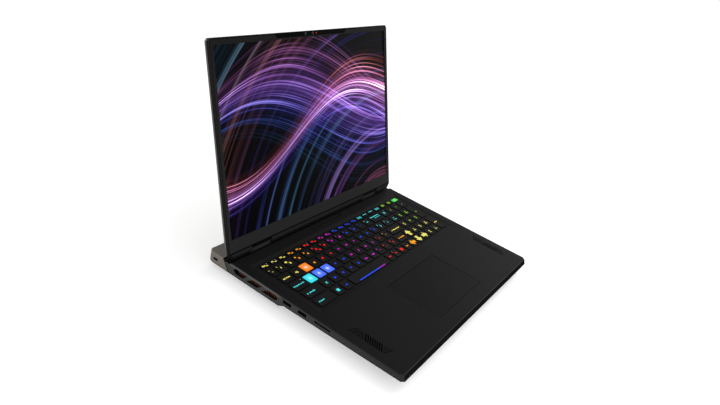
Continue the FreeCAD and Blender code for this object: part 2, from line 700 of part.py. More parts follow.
def key_rows():
    """The keys of each row, from back to front."""
    pad = run("keys_number_pad", PAD_PITCH, PAD_COLUMNS - 1)
    tall = [("keys_number_pad", PAD_PITCH, TALL_ROWS)]
    taken = [("", PAD_PITCH, 0)]
    function = run("keys_function_row", MAIN_WIDTH / FUNCTION_KEYS, FUNCTION_KEYS)
    function += run("keys_function_row", PAD_PITCH, PAD_COLUMNS - 1) + run("key_power", PAD_PITCH)
    number = run("keys_number_row", GRAVE_SLOT) + run("keys_number_row", KEY_PITCH, NUMBER_KEYS)
    number += run("keys_number_row", BACKSPACE_SLOT) + run("keys_number_pad", PAD_PITCH, PAD_COLUMNS)
    upper = run("keys_upper_row", TAB_SLOT) + run("keys_upper_row", KEY_PITCH) + run("key_w", KEY_PITCH)
    upper += run("keys_upper_row", KEY_PITCH, UPPER_KEYS)
    upper += run("keys_upper_row", left_over(upper)) + pad + tall
    home = run("keys_home_row", CAPS_SLOT)
    home += run("key_a", KEY_PITCH) + run("key_s", KEY_PITCH) + run("key_d", KEY_PITCH)
    home += run("keys_home_row", KEY_PITCH, HOME_KEYS)
    home += run("key_enter", left_over(home)) + pad + taken
    lower = run("keys_lower_row", SHIFT_SLOT) + run("keys_lower_row", KEY_PITCH, LOWER_KEYS)
    arrow = run("key_arrow_up", KEY_PITCH)
    lower += run("keys_lower_row", left_over(lower + arrow)) + arrow + pad + tall
    bottom = run("keys_bottom_row", SHIFT_SLOT) + run("keys_bottom_row", KEY_PITCH, LEFT_KEYS)
    ending = run("keys_bottom_row", SMALL_SLOT, SMALL_KEYS)
    ending += run("key_arrow_left", KEY_PITCH) + run("key_arrow_down", KEY_PITCH)
    bottom += run("key_space", left_over(bottom + ending)) + ending
    bottom += run("key_arrow_right", PAD_PITCH) + pad[1:] + taken
    return [function, number, upper, home, lower, bottom]


def key_slots():
    """Every key as (node, x0, x1, y0, y1), the limits of its slot."""
    slots = []
    back = KEYS_BACK
    for place, row in enumerate(key_rows()):
        depth = ROW_PITCH if place else FUNCTION_ROW
        x = -FIELD_HALF
        for node, width, rows in row:
            if rows:
                slots.append((node, x, x + width, back - depth - (rows - 1) * ROW_PITCH, back))
            x += width
        back -= depth
    return slots


def stem_places(x0, x1, y0, y1):
    """Where the stems of one key stand."""
    places = [(x0 + x1) / 2]
    if x1 - x0 > LONG_KEY:
        places += [x0 + LONG_KEY_STEM, x1 - LONG_KEY_STEM]
    return [(x, (y0 + y1) / 2) for x in places]


def make_key(x0, x1, y0, y1):
    gap = KEY_GAP / 2
    cap = rounded(x0 + gap, x1 - gap, y0 + gap, y1 - gap, KEY_LOW, KEY_TOP, KEY_CORNER)
    cap = cap.makeChamfer(KEY_BEVEL, edges_at(cap, "z", KEY_TOP))
    low = TRAY_TOP - STEM_GUIDE
    stems = [rod("z", low, KEY_LOW, x, y, STEM_RADIUS) for x, y in stem_places(x0, x1, y0, y1)]
    return cap.fuse(stems)


def make_keyboard_tray(slots):
    x = FIELD_HALF + TRAY_FLANGE
    front = KEYS_FRONT - TRAY_FLANGE
    back = KEYS_BACK + TRAY_FLANGE
    tray = box(-x, x, front, back, TRAY_TOP - TRAY_PLATE, DECK_UNDER)
    hollow = box(TRAY_RIM - x, x - TRAY_RIM, front + TRAY_RIM, back - TRAY_RIM, TRAY_TOP, DECK_UNDER + OVER)
    low = TRAY_TOP - TRAY_PLATE - OVER
    holes = []
    for node, x0, x1, y0, y1 in slots:
        for a, b in stem_places(x0, x1, y0, y1):
            holes.append(rod("z", low, TRAY_TOP + OVER, a, b, STEM_RADIUS + STEM_CLEARANCE))
    return tray.cut([hollow] + holes)


def make_touchpad():
    half = PAD_WIDTH / 2
    pad = rounded(-half, half, PAD_FRONT, PAD_FRONT + PAD_DEPTH, PAD_LOW, PAD_TOP, PAD_CORNER)
    return pad.fuse(rod("x", -PIVOT_HALF, PIVOT_HALF, PIVOT_Y, PIVOT_Z, PIVOT_RADIUS)).removeSplitter()


def make_touchpad_bracket():
    inner = PAD_WIDTH / 2 + PAD_GAP
    outer = inner + BRACKET_RIM
    front = PAD_FRONT - PAD_GAP
    back = PAD_FRONT + PAD_DEPTH + PAD_GAP
    low = BRACKET_TOP - BRACKET_PLATE
    bracket = box(-outer, outer, front - BRACKET_RIM, back + BRACKET_RIM, low, DECK_UNDER)
    bracket = bracket.cut(box(-inner, inner, front, back, BRACKET_TOP, DECK_UNDER + OVER))
    lugs = [box(LUG_PLACE - LUG_HALF, LUG_PLACE + LUG_HALF, PIVOT_Y - LUG_HALF / 2, PIVOT_Y + LUG_HALF / 2,
                low, PIVOT_Z + LUG_WRAP)]
    switch = rod("z", low, PAD_LOW - PAD_CLICK, 0.0, PAD_FRONT + SWITCH_INSET, SWITCH_RADIUS)
    bore = rod("x", -PIVOT_HALF - OVER, PIVOT_HALF + OVER, PIVOT_Y, PIVOT_Z, PIVOT_RADIUS + PIN_FIT)
    return bracket.fuse(both(lugs) + [switch]).cut(bore)


def port_block(axis, middle, start, end, z, width, height):
    """A block of a port, running along the axis between start and end."""
    near = min(start, end)
    far = max(start, end)
    x0, x1 = (near, far) if axis == "x" else (middle - width / 2, middle + width / 2)
    y0, y1 = (near, far) if axis == "y" else (middle - width / 2, middle + width / 2)
    return box(x0, x1, y0, y1, z - height / 2, z + height / 2)


def make_port(axis, middle, start, depth, z, width, height):
    """A metal port shell with a tongue; it opens at start and runs back by depth along the axis."""
    sign = math.copysign(1.0, depth)
    back = start + depth - sign * PORT_SHELL
    shell = port_block(axis, middle, start, start + depth, z,
                       width + 2 * PORT_SHELL, height + 2 * PORT_SHELL)
    hollow = port_block(axis, middle, start - sign * OVER, back, z, width, height)
    tongue = port_block(axis, middle, start + sign * TONGUE_SETBACK, back, z,
                        width - 2 * TONGUE_MARGIN, TONGUE_HEIGHT)
    return shell.cut(hollow).fuse(tongue)


def make_card_reader():
    y = HINGE_Y - CARD_AHEAD
    wall = SIDE_WALL - BASE_HALF
    half = CARD_WIDTH / 2
    tall = CARD_HEIGHT / 2
    body = box(wall, wall + CARD_DEPTH, y - half - CARD_SHELL, y + half + CARD_SHELL,
               CARD_Z - tall - CARD_SHELL, CARD_Z + tall + CARD_SHELL)
    return body.cut(box(wall - OVER, wall + CARD_DEPTH - CARD_SHELL, y - half, y + half,
                        CARD_Z - tall, CARD_Z + tall))


def comb(length, depth):
    """Outline of a fin stack: a spine with evenly spaced fins, as (along, across) points."""
    points = [(0.0, 0.0)]
    count = int((length - FIN_THICKNESS) / FIN_PITCH)
    for number in range(count):
        start = number * FIN_PITCH
        points += [(start, depth), (start + FIN_THICKNESS, depth)]
        points += [(start + FIN_THICKNESS, FIN_SPINE), (start + FIN_PITCH, FIN_SPINE)]
    end = count * FIN_PITCH
    points += [(end, depth), (end + FIN_THICKNESS, depth), (end + FIN_THICKNESS, 0.0)]
    return points


def make_fin_stacks():
    """The side and rear fin stacks of the right fan, spines on top, the side one notched for the pipe."""
    side_start = HINGE_Y - SIDE_FIN_AHEAD[1]
    side_points = comb(SIDE_FIN_AHEAD[1] - SIDE_FIN_AHEAD[0], SIDE_FIN_HEIGHT)
    side_points = [(side_start + a, DECK_UNDER - b) for a, b in side_points]
    outer = BASE_HALF - SIDE_WALL - SIDE_FIN_GAP
    side = prism(side_points, "x", outer - SIDE_FIN_DEPTH, outer)
    pipe_back = HINGE_Y - PIPE_AHEAD[0]
    notch = box(0.0, BASE_HALF - PIPE_END + PIPE_NOTCH_GAP,
                pipe_back - PIPE_WIDTH - PIPE_NOTCH_GAP, pipe_back + PIPE_NOTCH_GAP,
                DECK_UNDER - SIDE_FIN_HEIGHT - OVER, CHIP_LOW)
    side = side.cut(notch)
    rear_points = comb(REAR_FIN_SPAN[1] - REAR_FIN_SPAN[0], REAR_FIN_HEIGHT)
    rear_points = [(REAR_FIN_SPAN[0] + a, TROUGH_UNDER - b) for a, b in rear_points]
    back = BASE_DEPTH - BLOCK_WALL - REAR_FIN_GAP
    rear = prism(rear_points, "y", back - REAR_FIN_DEPTH, back)
    return [side, rear]


def make_fan_housing():
    """The right fan's housing, open to the side, to the rear, above and below."""
    half = FAN_SIZE / 2
    low = FLOOR_REAR + FAN_PLATE
    high = FAN_TOP - FAN_PLATE
    housing = box(FAN_X - half, FAN_X + half, FAN_Y - half, FAN_Y + half, FLOOR_REAR, FAN_TOP)
    chamber = rod("z", low, high, FAN_X, FAN_Y, FAN_CHAMBER)
    side_outlet = box(FAN_X, FAN_X + half + OVER, FAN_Y - FAN_INLET, FAN_Y + FAN_CHAMBER, low, high)
    rear_outlet = box(FAN_X - FAN_INLET, FAN_X + FAN_CHAMBER, FAN_Y, FAN_Y + half + OVER, low, high)
    inlets = [rod("z", high - OVER, FAN_TOP + OVER, FAN_X, FAN_Y, FAN_INLET),
              rod("z", FLOOR_REAR - OVER, low + OVER, FAN_X, FAN_Y, FAN_INLET)]
    housing = housing.cut([chamber, side_outlet, rear_outlet] + inlets)
    seat = rod("z", FLOOR_REAR, low, FAN_X, FAN_Y, FAN_SEAT)
    spindle = rod("z", FLOOR_REAR, high - ROTOR_GAP, FAN_X, FAN_Y, SPINDLE_RADIUS)
    spokes = []
    for number in range(FAN_SPOKES):
        spoke = box(FAN_X, FAN_X + FAN_INLET + OVER, FAN_Y - FAN_SPOKE / 2, FAN_Y + FAN_SPOKE / 2,
                    FLOOR_REAR, low)
        spoke.rotate(FreeCAD.Vector(FAN_X, FAN_Y, 0), along("z", 1.0), 360.0 * number / FAN_SPOKES)
        spokes.append(spoke)
    return housing.fuse(spokes + [seat, spindle]).removeSplitter()


def make_fan_rotor():
    low = FLOOR_REAR + FAN_PLATE + ROTOR_GAP
    high = FAN_TOP - FAN_PLATE - ROTOR_GAP
    hub = rod("z", low, high, FAN_X, FAN_Y, ROTOR_HUB)
    blades = []
    for number in range(ROTOR_BLADES):
        blade = box(FAN_X + ROTOR_HUB - OVER, FAN_X + ROTOR_TIP, FAN_Y - BLADE_THICKNESS / 2,
                    FAN_Y + BLADE_THICKNESS / 2, low, high)
        root = FreeCAD.Vector(FAN_X + ROTOR_HUB, FAN_Y, 0)
        blade.rotate(root, along("z", 1.0), BLADE_SWEEP)
        blade.rotate(FreeCAD.Vector(FAN_X, FAN_Y, 0), along("z", 1.0), 360.0 * number / ROTOR_BLADES)
        blades.append(blade)
    bore = rod("z", low - OVER, high + OVER, FAN_X, FAN_Y, SPINDLE_RADIUS + SPINDLE_FIT)
    return hub.fuse(blades).cut(bore)


def make_heat_pipes():
    pipes = []
    for ahead, half in zip(PIPE_AHEAD, (BASE_HALF - PIPE_END, PIPE_HALF)):
        back = HINGE_Y - ahead
        pipe = box(-half, half, back - PIPE_WIDTH, back, PIPE_LOW, CHIP_LOW)
        pipes.append(pipe)
    return pipes


def under_board(spans, ahead, height):
    """Blocks that hang under the main board, over the given spans side to side."""
    blocks = []
    for x0, x1 in spans:
        blocks.append(box(x0, x1, HINGE_Y - ahead[1], HINGE_Y - ahead[0], BOARD_LOW - height, BOARD_LOW))
    return blocks


def make_hinge_base():
    """The right hinge's part in the base: foot, web and bored knuckle."""
    x0 = NOTCH_INNER + KNUCKLE_CLEARANCE
    x1 = NOTCH_OUTER - KNUCKLE_CLEARANCE
    knuckle = rod("x", x0, x1, HINGE_Y, HINGE_Z, KNUCKLE_RADIUS)
    low = TROUGH_UNDER - FOOT_PLATE
    web = box(x0, x1, HINGE_Y - KNUCKLE_WEB / 2, HINGE_Y + KNUCKLE_WEB / 2, low, HINGE_Z)
    foot = box(NOTCH_INNER - FOOT_OVERHANG, NOTCH_OUTER + FOOT_OVERHANG,
               HINGE_Y - FOOT_FORWARD, HINGE_Y + FOOT_BEHIND, low, TROUGH_UNDER)
    bore = rod("x", x0 - OVER, x1 + OVER, HINGE_Y, HINGE_Z, PIN_RADIUS + PIN_FIT)
    return knuckle.fuse([web, foot]).removeSplitter().cut(bore)


def lid_outline(inset, low):
    """Outline of the lid across its thickness, inset at the sides and top; low is its lower edge."""
    half = BASE_HALF - inset
    top = LID_TOP - inset
    cut = cut_corner(LID_CORNER, inset)
    foot = cut_corner(LID_FOOT_CORNER, inset)
    right = [(half - foot, low), (half, low + foot), (half, top - cut), (half - cut, top)]
    return right + [(-x, z) for x, z in reversed(right)]


def lid_plate(inset, low_inset, front, back):
    return prism(lid_outline(inset, low_inset - LID_TAIL), "y", front, back)


def place_lid(shape):
    """Carry a piece from the upright lid, with the hinge axis at the origin, to its open place."""
    placed = shape.copy()
    placed.rotate(FreeCAD.Vector(0, 0, 0), FreeCAD.Vector(1, 0, 0), 90.0 - LID_OPEN_ANGLE)
    placed.translate(FreeCAD.Vector(0.0, HINGE_Y, HINGE_Z))
    return placed


def notch_cutters():
    notch = box(NOTCH_INNER, NOTCH_OUTER, LID_FRONT - OVER, LID_BACK + OVER, -LID_TAIL - OVER, NOTCH_TOP)
    return both([notch])


def camera_bar_body(front):
    low = LID_TOP - CAMERA_BAR_HEIGHT
    inner = CAMERA_BAR_HALF - CAMERA_BAR_SLANT
    points = [(-CAMERA_BAR_HALF, LID_TOP), (-CAMERA_BAR_HALF, low + CAMERA_BAR_SLANT), (-inner, low),
              (inner, low), (CAMERA_BAR_HALF, low + CAMERA_BAR_SLANT), (CAMERA_BAR_HALF, LID_TOP)]
    return prism(points, "y", front, LID_FRONT + BEZEL_PLATE)


def lens_rods(places, radius, depth):
    """Round parts of the camera bar, standing in its face."""
    front = LID_FRONT - CAMERA_BAR_PROUD
    return [rod("y", front, front + depth, x, LID_TOP - LENS_DROP, radius) for x in places]


def make_lid_cover():
    outer = lid_plate(0.0, 0.0, LID_SPLIT, LID_BACK)
    outer = outer.makeChamfer(LID_EDGE, edges_at(outer, "y", LID_BACK))
    hollow = lid_plate(LID_WALL, LID_WALL, LID_SPLIT - OVER, LID_BACK - LID_BACK_PLATE)
    return outer.cut([hollow] + notch_cutters())


def make_lid_rim():
    seat = LID_FRONT + BEZEL_PLATE
    inner = BASE_HALF - RIM_WIDTH
    opening = box(-inner, inner, seat - OVER, LID_SPLIT + OVER, RIM_BAR, LID_TOP - RIM_WIDTH)
    x0 = NOTCH_INNER - EYE_LENGTH - KNUCKLE_CLEARANCE
    x1 = NOTCH_OUTER + EYE_LENGTH + KNUCKLE_CLEARANCE
    low = LID_WALL - LID_TAIL
    eyes = box(x0, x1, seat - OVER, LID_SPLIT + OVER, low, NOTCH_TOP)
    leaf = box(x0, x1, LEAF_FRONT - EYE_GAP, LID_SPLIT + OVER, low, LEAF_END)
    ring = lid_plate(0.0, 0.0, seat, LID_SPLIT).cut([opening] + both([eyes, leaf]))
    lip = lid_plate(0.0, 0.0, LID_FRONT, seat)
    lip = lip.cut(lid_plate(RIM_LIP, RIM_LIP, LID_FRONT - OVER, seat + OVER))
    return ring.fuse(lip).removeSplitter().cut(notch_cutters() + [camera_bar_body(LID_FRONT - OVER)])


def make_lid_gasket():
    front = LID_FRONT + GASKET_INSET
    back = LID_FRONT + BEZEL_PLATE
    inner = RIM_LIP + GASKET_WIDTH
    ring = lid_plate(RIM_LIP, RIM_LIP, front, back).cut(lid_plate(inner, inner, front - OVER, back + OVER))
    return ring.cut(notch_cutters() + [camera_bar_body(LID_FRONT - OVER)])


def make_bezel():
    inset = RIM_LIP + GASKET_WIDTH + SEAM
    face = lid_plate(inset, inset, LID_FRONT, LID_FRONT + BEZEL_PLATE)
    half = BASE_HALF + OVER
    below = box(-half, half, LID_FRONT - OVER, LID_BACK, -LID_TAIL - OVER, BEZEL_START)
    window = box(-SCREEN_HALF, SCREEN_HALF, LID_FRONT - OVER, LID_BACK, LID_CHIN, LID_CHIN + SCREEN_HEIGHT)
    return face.cut([below, window, camera_bar_body(LID_FRONT - OVER)])


def make_hinge_strip():
    """The strip below the bezel, in three lengths between the hinge notches."""
    inset = RIM_LIP + GASKET_WIDTH + SEAM
    face = lid_plate(inset, inset, LID_FRONT, LID_FRONT + STRIP_PLATE)
    half = BASE_HALF + OVER
    above = box(-half, half, LID_FRONT - OVER, LID_BACK, BEZEL_START - STRIP_GROOVE, LID_TOP)
    return face.cut([above] + notch_cutters())


def make_panel():
    front = LID_FRONT + BEZEL_PLATE + SEAM
    half = SCREEN_HALF + PANEL_MARGIN
    return box(-half, half, front, front + PANEL_PLATE,
               LID_CHIN - PANEL_MARGIN, LID_CHIN + SCREEN_HEIGHT + PANEL_MARGIN)


def make_camera_bar():
    holes = lens_rods(CAMERA_PLACES, CAMERA_RADIUS, CAMERA_DEPTH)
    holes += lens_rods(LIGHT_PLACES, LIGHT_RADIUS, CAMERA_DEPTH)
    holes += lens_rods((-MICROPHONE_PLACE, MICROPHONE_PLACE), MICROPHONE_RADIUS, CAMERA_DEPTH)
    return camera_bar_body(LID_FRONT - CAMERA_BAR_PROUD).cut(holes)


def make_hinge_leaf():
    """The right hinge's part in the lid: a plate on the cover with an eye at each end of the notch."""
    parts = [box(NOTCH_INNER - EYE_LENGTH, NOTCH_OUTER + EYE_LENGTH, LEAF_FRONT, LEAF_BACK,
                 LEAF_START, LEAF_END)]
    bores = []
    for x0 in (NOTCH_INNER - EYE_LENGTH, NOTCH_OUTER):
        parts.append(box(x0, x0 + EYE_LENGTH, LEAF_FRONT, LEAF_BACK, 0.0, LEAF_START))
        parts.append(rod("x", x0, x0 + EYE_LENGTH, 0.0, 0.0, EYE_RADIUS))
        bores.append(rod("x", x0 - OVER, x0 + EYE_LENGTH + OVER, 0.0, 0.0, PIN_RADIUS))
    return parts[0].fuse(parts[1:]).removeSplitter().cut(bores)


def save_pair(name, *shapes):
    """Write a right-hand piece and its mirror image as two nodes."""
    save(name + "_right", *shapes)
    save(name + "_left", *[mirrored(shape) for shape in shapes])


def save_lid():
    save("lid_cover", place_lid(make_lid_cover()))
    save("lid_rim", place_lid(make_lid_rim()))
    save("lid_gasket", place_lid(make_lid_gasket()))
    save("display_bezel", place_lid(make_bezel()))
    save("hinge_strip", place_lid(make_hinge_strip()))
    save("display_panel", place_lid(make_panel()))
    save("camera_bar", place_lid(make_camera_bar()))
    lenses = lens_rods(CAMERA_PLACES, CAMERA_RADIUS, CAMERA_DEPTH)
    save("camera_lenses", *[place_lid(lens) for lens in lenses])
    lights = lens_rods(LIGHT_PLACES, LIGHT_RADIUS, CAMERA_DEPTH)
    save("camera_lights", *[place_lid(light) for light in lights])
    save_pair("hinge_leaf", place_lid(make_hinge_leaf()))
    pin = rod("x", NOTCH_INNER - PIN_SOCKET, NOTCH_OUTER + PIN_SOCKET, HINGE_Y, HINGE_Z, PIN_RADIUS)
    save_pair("hinge_pin", pin)


def save_keyboard():
    slots = key_slots()
    nodes = {}
    for node, x0, x1, y0, y1 in slots:
        nodes.setdefault(node, []).append(make_key(x0, x1, y0, y1))
    for node, keys in nodes.items():
        save(node, *keys)
    save("keyboard_tray", make_keyboard_tray(slots))


def save_ports():
    wall = SIDE_WALL - BASE_HALF
    places = [HINGE_Y - ahead for ahead in USB_AHEAD]
    usb = [make_port("x", y, wall, USB_DEPTH, USB_Z, USB_WIDTH, USB_HEIGHT) for y in places]
    save("usb_ports", *usb)
    save("card_reader", make_card_reader())
    back = BASE_DEPTH - BLOCK_WALL
    z = DECK_HEIGHT - REAR_PORT_DROP
    save("power_inlet", make_port("y", INLET_PLACE, back, -REAR_PORT_DEPTH, z, INLET_WIDTH, INLET_HEIGHT))
    rear = [make_port("y", x, back, -REAR_PORT_DEPTH, z, width, height) for x, width, height in REAR_PORTS]
    save("rear_ports", *rear)


def save_inside():
    board = box(-BOARD_HALF, BOARD_HALF, HINGE_Y - BOARD_AHEAD, HINGE_Y - BOARD_BACK, BOARD_LOW, BOARD_TOP)
    save("main_board", board)
    save("processors", *under_board(CHIP_SPANS, (PIPE_AHEAD[0], PIPE_AHEAD[0] + PIPE_SPAN), CHIP_HEIGHT))
    save("heat_pipes", *make_heat_pipes())
    save("memory_modules", *both(under_board([MEMORY_SPAN], MEMORY_AHEAD, MEMORY_HEIGHT)))
    save("drives", *both(under_board([DRIVE_SPAN], DRIVE_AHEAD, DRIVE_HEIGHT)))
    save_pair("fan_housing", make_fan_housing())
    save_pair("fan_rotor", make_fan_rotor())
    save_pair("fin_stack", *make_fin_stacks())
    half = BASE_HALF - BOSS_SIDE - BOSS_RADIUS - BATTERY_GAP
    back = HINGE_Y - BOSS_MIDDLE_AHEAD - BOSS_RADIUS
    save("battery_pack", box(-half, half, BATTERY_FRONT, back, FLOOR_FRONT, FLOOR_FRONT + BATTERY_HEIGHT))
    outer = BASE_HALF - SPEAKER_OUTER
    speaker_back = HINGE_Y - CARD_AHEAD - CARD_WIDTH / 2 - SPEAKER_GAP
    save_pair("speaker", box(outer - SPEAKER_WIDTH, outer, SPEAKER_FRONT, speaker_back,
                             FLOOR_FRONT, FLOOR_FRONT + SPEAKER_HEIGHT))


def save_base():
    save("top_case", make_top_case())
    save("rear_block", make_rear_block())
    save("bottom_cover", make_bottom_cover())
    save("bottom_screws", *make_screws())
    save("touchpad", make_touchpad())
    save("touchpad_bracket", make_touchpad_bracket())
    save_pair("hinge_base", make_hinge_base())
    front_foot = rounded(FRONT_FOOT_SPAN[0], FRONT_FOOT_SPAN[1], FRONT_FOOT_Y, FRONT_FOOT_Y + FOOT_WIDTH,
                         0.0, UNDERSIDE_FRONT, FOOT_WIDTH / 2 - OVER)
    save("front_feet", *both([front_foot]))
    foot_y = HINGE_Y - REAR_FOOT_AHEAD
    save("rear_foot", rounded(-REAR_FOOT_HALF, REAR_FOOT_HALF, foot_y, foot_y + FOOT_WIDTH,
                              0.0, UNDERSIDE_REAR, FOOT_WIDTH / 2 - OVER))


os.makedirs("parts", exist_ok=True)
save_lid()
save_keyboard()
save_ports()
save_inside()
save_base()
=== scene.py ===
import json
import math

import bmesh
import bpy
from mathutils import Matrix, Vector


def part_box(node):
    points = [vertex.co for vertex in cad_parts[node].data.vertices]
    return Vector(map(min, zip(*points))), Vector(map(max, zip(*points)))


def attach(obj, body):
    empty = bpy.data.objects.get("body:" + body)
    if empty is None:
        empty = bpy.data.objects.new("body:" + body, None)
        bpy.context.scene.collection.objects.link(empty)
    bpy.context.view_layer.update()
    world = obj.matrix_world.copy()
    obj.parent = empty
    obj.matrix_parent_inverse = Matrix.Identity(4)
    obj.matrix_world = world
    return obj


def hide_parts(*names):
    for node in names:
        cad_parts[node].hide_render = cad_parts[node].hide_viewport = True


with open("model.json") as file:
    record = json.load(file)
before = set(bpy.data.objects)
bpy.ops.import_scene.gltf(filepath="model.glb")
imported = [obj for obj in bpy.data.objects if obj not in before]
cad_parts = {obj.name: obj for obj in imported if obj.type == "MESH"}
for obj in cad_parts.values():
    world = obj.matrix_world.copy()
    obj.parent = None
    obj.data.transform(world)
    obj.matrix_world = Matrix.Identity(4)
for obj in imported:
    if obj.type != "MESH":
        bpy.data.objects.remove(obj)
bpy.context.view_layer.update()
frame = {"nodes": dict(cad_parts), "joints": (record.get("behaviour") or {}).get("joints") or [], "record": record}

# A large open laptop computer. Lengths are in metres in the CAD frame; MM turns millimetres into them.
MM = 0.001

# Camera, solved from the photograph
EYE = (-0.70440, -0.329955, 0.46921)
FORWARD = (0.79720, 0.40779, -0.44516)
UPWARD = (0.25862, 0.43561, 0.86218)
LENS = 32.0
SENSOR = 36.0
CLIP_START = 0.01

# Studio
AMBIENT = 0.50  # strength of the soft light from all round
FLOOR_HALF = 14.0
FLOOR_COLOUR = (0.80, 0.80, 0.80, 1.0)
WHITE = (1.0, 1.0, 1.0, 1.0)
FLOOR_WHITE = 0.46  # what the floor adds to its own shade, to be white where lit
SUN_PLACE = (0.70, 0.00, 0.80)  # direction of the broad light from the right
SUN_STRENGTH = 1.0
SUN_ANGLE = 60.0
LAMPS = (  # name, place, aim, width, height, power
    ("side", (-1.30, -0.30, 0.40), (-0.19, 0.0, 0.015), 0.9, 0.5, 5.0),
    ("front", (-0.30, -1.50, 0.80), (0.0, 0.1, 0.12), 1.2, 0.8, 4.0),
    ("right", (0.75, -0.15, 0.45), (0.10, 0.0, 0.02), 0.5, 0.5, 1.7),
)

# Places read from the frame
HINGE = next(joint for joint in frame["joints"] if joint["name"] == "lid_hinge")
HINGE_PLACE = Vector(HINGE["pos_m"])
LEAN = math.radians(-HINGE["range_deg"][0] - 90.0)
BASE_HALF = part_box("top_case")[1].x
BASE_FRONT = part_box("top_case")[0].y
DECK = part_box("top_case")[1].z
KEY_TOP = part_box("key_space")[1].z
SLOTS = {row["node"]: row["material_slot"] for row in frame["record"]["subparts"]}

# Screen picture, measured from the screen's middle in lengths of SCREEN_UNIT
SCREEN_UNIT = 0.115
SCREEN_MIDDLE = 0.135  # from the hinge up the lid
TRAIL_PACE = 0.30  # change of the light trails along their way
TRAIL_CRESTS = (0.45, 0.74)
TRAIL_SHARPNESS = 1.5
GROUP_SHARE = 0.2  # number of groups to number of trails
GROUP_PACE = 0.5
GROUP_SPAN = (0.38, 0.66, 0.12, 1.0)
CORE_SHARPNESS = 2.2  # white-hot cores of the trails
CORE_SHARE = 0.30
RIBBON_END = 1.5  # middle of a ribbon to its end, in half widths
RIBBON_FADE = 1.2
HAZE_FADE = 4.0
HAZE_SHARE = 0.05
RIBBONS = (  # wave and tilt, half width and swell, lines, seed, gain, colours
    ((0.34, 1.5, 0.6, 0.10, -0.06), (0.34, 0.20, 0.9, -0.8), 17.0, 1.0, 3.4, (
        (0.00, (40, 40, 190)), (0.25, (110, 60, 235)), (0.48, (235, 150, 250)), (0.62, (240, 110, 190)),
        (0.80, (210, 90, 60)), (1.00, (70, 40, 150)))),
    ((-0.46, 1.15, -0.5, 0.05, 0.10), (0.44, 0.24, 1.3, 1.0), 20.0, 5.0, 2.4, (
        (0.00, (20, 120, 150)), (0.30, (70, 90, 240)), (0.55, (170, 100, 245)), (0.80, (220, 120, 210)),
        (1.00, (40, 40, 140)))),
)
ARCS = ((1.5, -2.0), (0.6, 4.0), 16.0, 9.0, 0.9, (  # middle, nearest and farthest, and then as above
    (0.00, (190, 80, 50)), (0.30, (120, 60, 170)), (0.50, (40, 110, 150)), (0.72, (70, 70, 210)),
    (0.86, (190, 100, 80)), (1.00, (30, 90, 120))))

# Key caps
CAP_HEIGHT = 2.8 * MM
CAP_CORNER = 2.0 * MM
CAP_ROUND = 0.35 * MM
CAP_DRAFT = 0.10 * MM
CAP_STEPS = 4
DISH_RIM = 0.8 * MM
DISH_DEPTH = 0.08 * MM
CORNER_LEAST = 0.3 * MM
LIT_REACH = 11.0 * MM  # middle of a lit cap to its corners

# Legends on the caps, in a broad bold lettering
LEGEND_RISE = 0.02 * MM
STRETCH = 1.45  # width of the lettering to that of the plain font
BOLD = 0.045  # added all round, to the size of the text
LETTER_SIZE = 3.8 * MM
DIGIT_SIZE = 4.1 * MM
WORD_SIZE = 2.5 * MM
SIGN_SIZE = 2.8 * MM
LABEL_SIZE = 3.0 * MM
PAD_SIZE = 3.3 * MM
SMALL_SIZE = 2.1 * MM
SIGN_SHIFT = (-4.2 * MM, 4.0 * MM)
SIGN_MARGIN = 2.4 * MM
THIRD_SHIFT = (4.0 * MM, -3.6 * MM)
LABEL_SHIFT = (-1.9 * MM, 0.6 * MM)
MARK_SHIFT = (2.4 * MM, -1.2 * MM)
MARK_HALF = (1.7 * MM, 0.6 * MM)
MARK_CORNER = 0.54 * MM
LINE_RISES = (1.9 * MM, -0.5 * MM)  # lines of a label in small print
PAD_RISE = 1.3 * MM
PAD_DROP = 1.9 * MM
ARROW_HALF = 6.5 * MM
SYMBOL_HALF = 1.4 * MM
SYMBOL_ROOM = 3.2 * SYMBOL_HALF
STEM_SHARE = 0.40  # half width of an arrow's stem to its half length
SIGN_LINE = 0.22  # half width of a sign's lines to its half length
TURN_LOW = -0.3  # foot of the turning arrow to its half length
LONG_ARROW = (15.5 * MM, 0.9 * MM, 0.35 * MM)
SQUARE_HALF = 2.3 * MM
SQUARE_CORNER = 0.3 * MM
MARK_STEPS = 3
DOT_RADIUS = 0.4 * MM
DOT_SHIFT = (-2.3 * MM, -1.8 * MM)  # status dot from the cap's far right corner
RING_RADIUS = 2.0 * MM
RING_WIDTH = 0.5 * MM
RING_GAP = 70.0
BAR_SPAN = (0.14, 0.846)  # lit strip along the space bar, as shares of its width
BAR_PLACE = 0.6 * MM  # lit strip to the front of the space bar
BAR_WIDTH = 2.1 * MM
BAR_CORNER = 0.6 * MM
WORD_SPANS = {  # margin at the left of a wide key, and length of its print
    "Tab": (3.3 * MM, 12.6 * MM),
    "CapsLock": (1.4 * MM, 20.5 * MM),
    "Shift": (4.7 * MM, 15.4 * MM),
    "Ctrl": (4.2 * MM, 10.4 * MM),
    "Enter": (5.8 * MM, 23.0 * MM),
    "Backspace": (3.5 * MM, 22.0 * MM),
}
BACKSPACE_RISES = (4.0 * MM, 0.4 * MM)

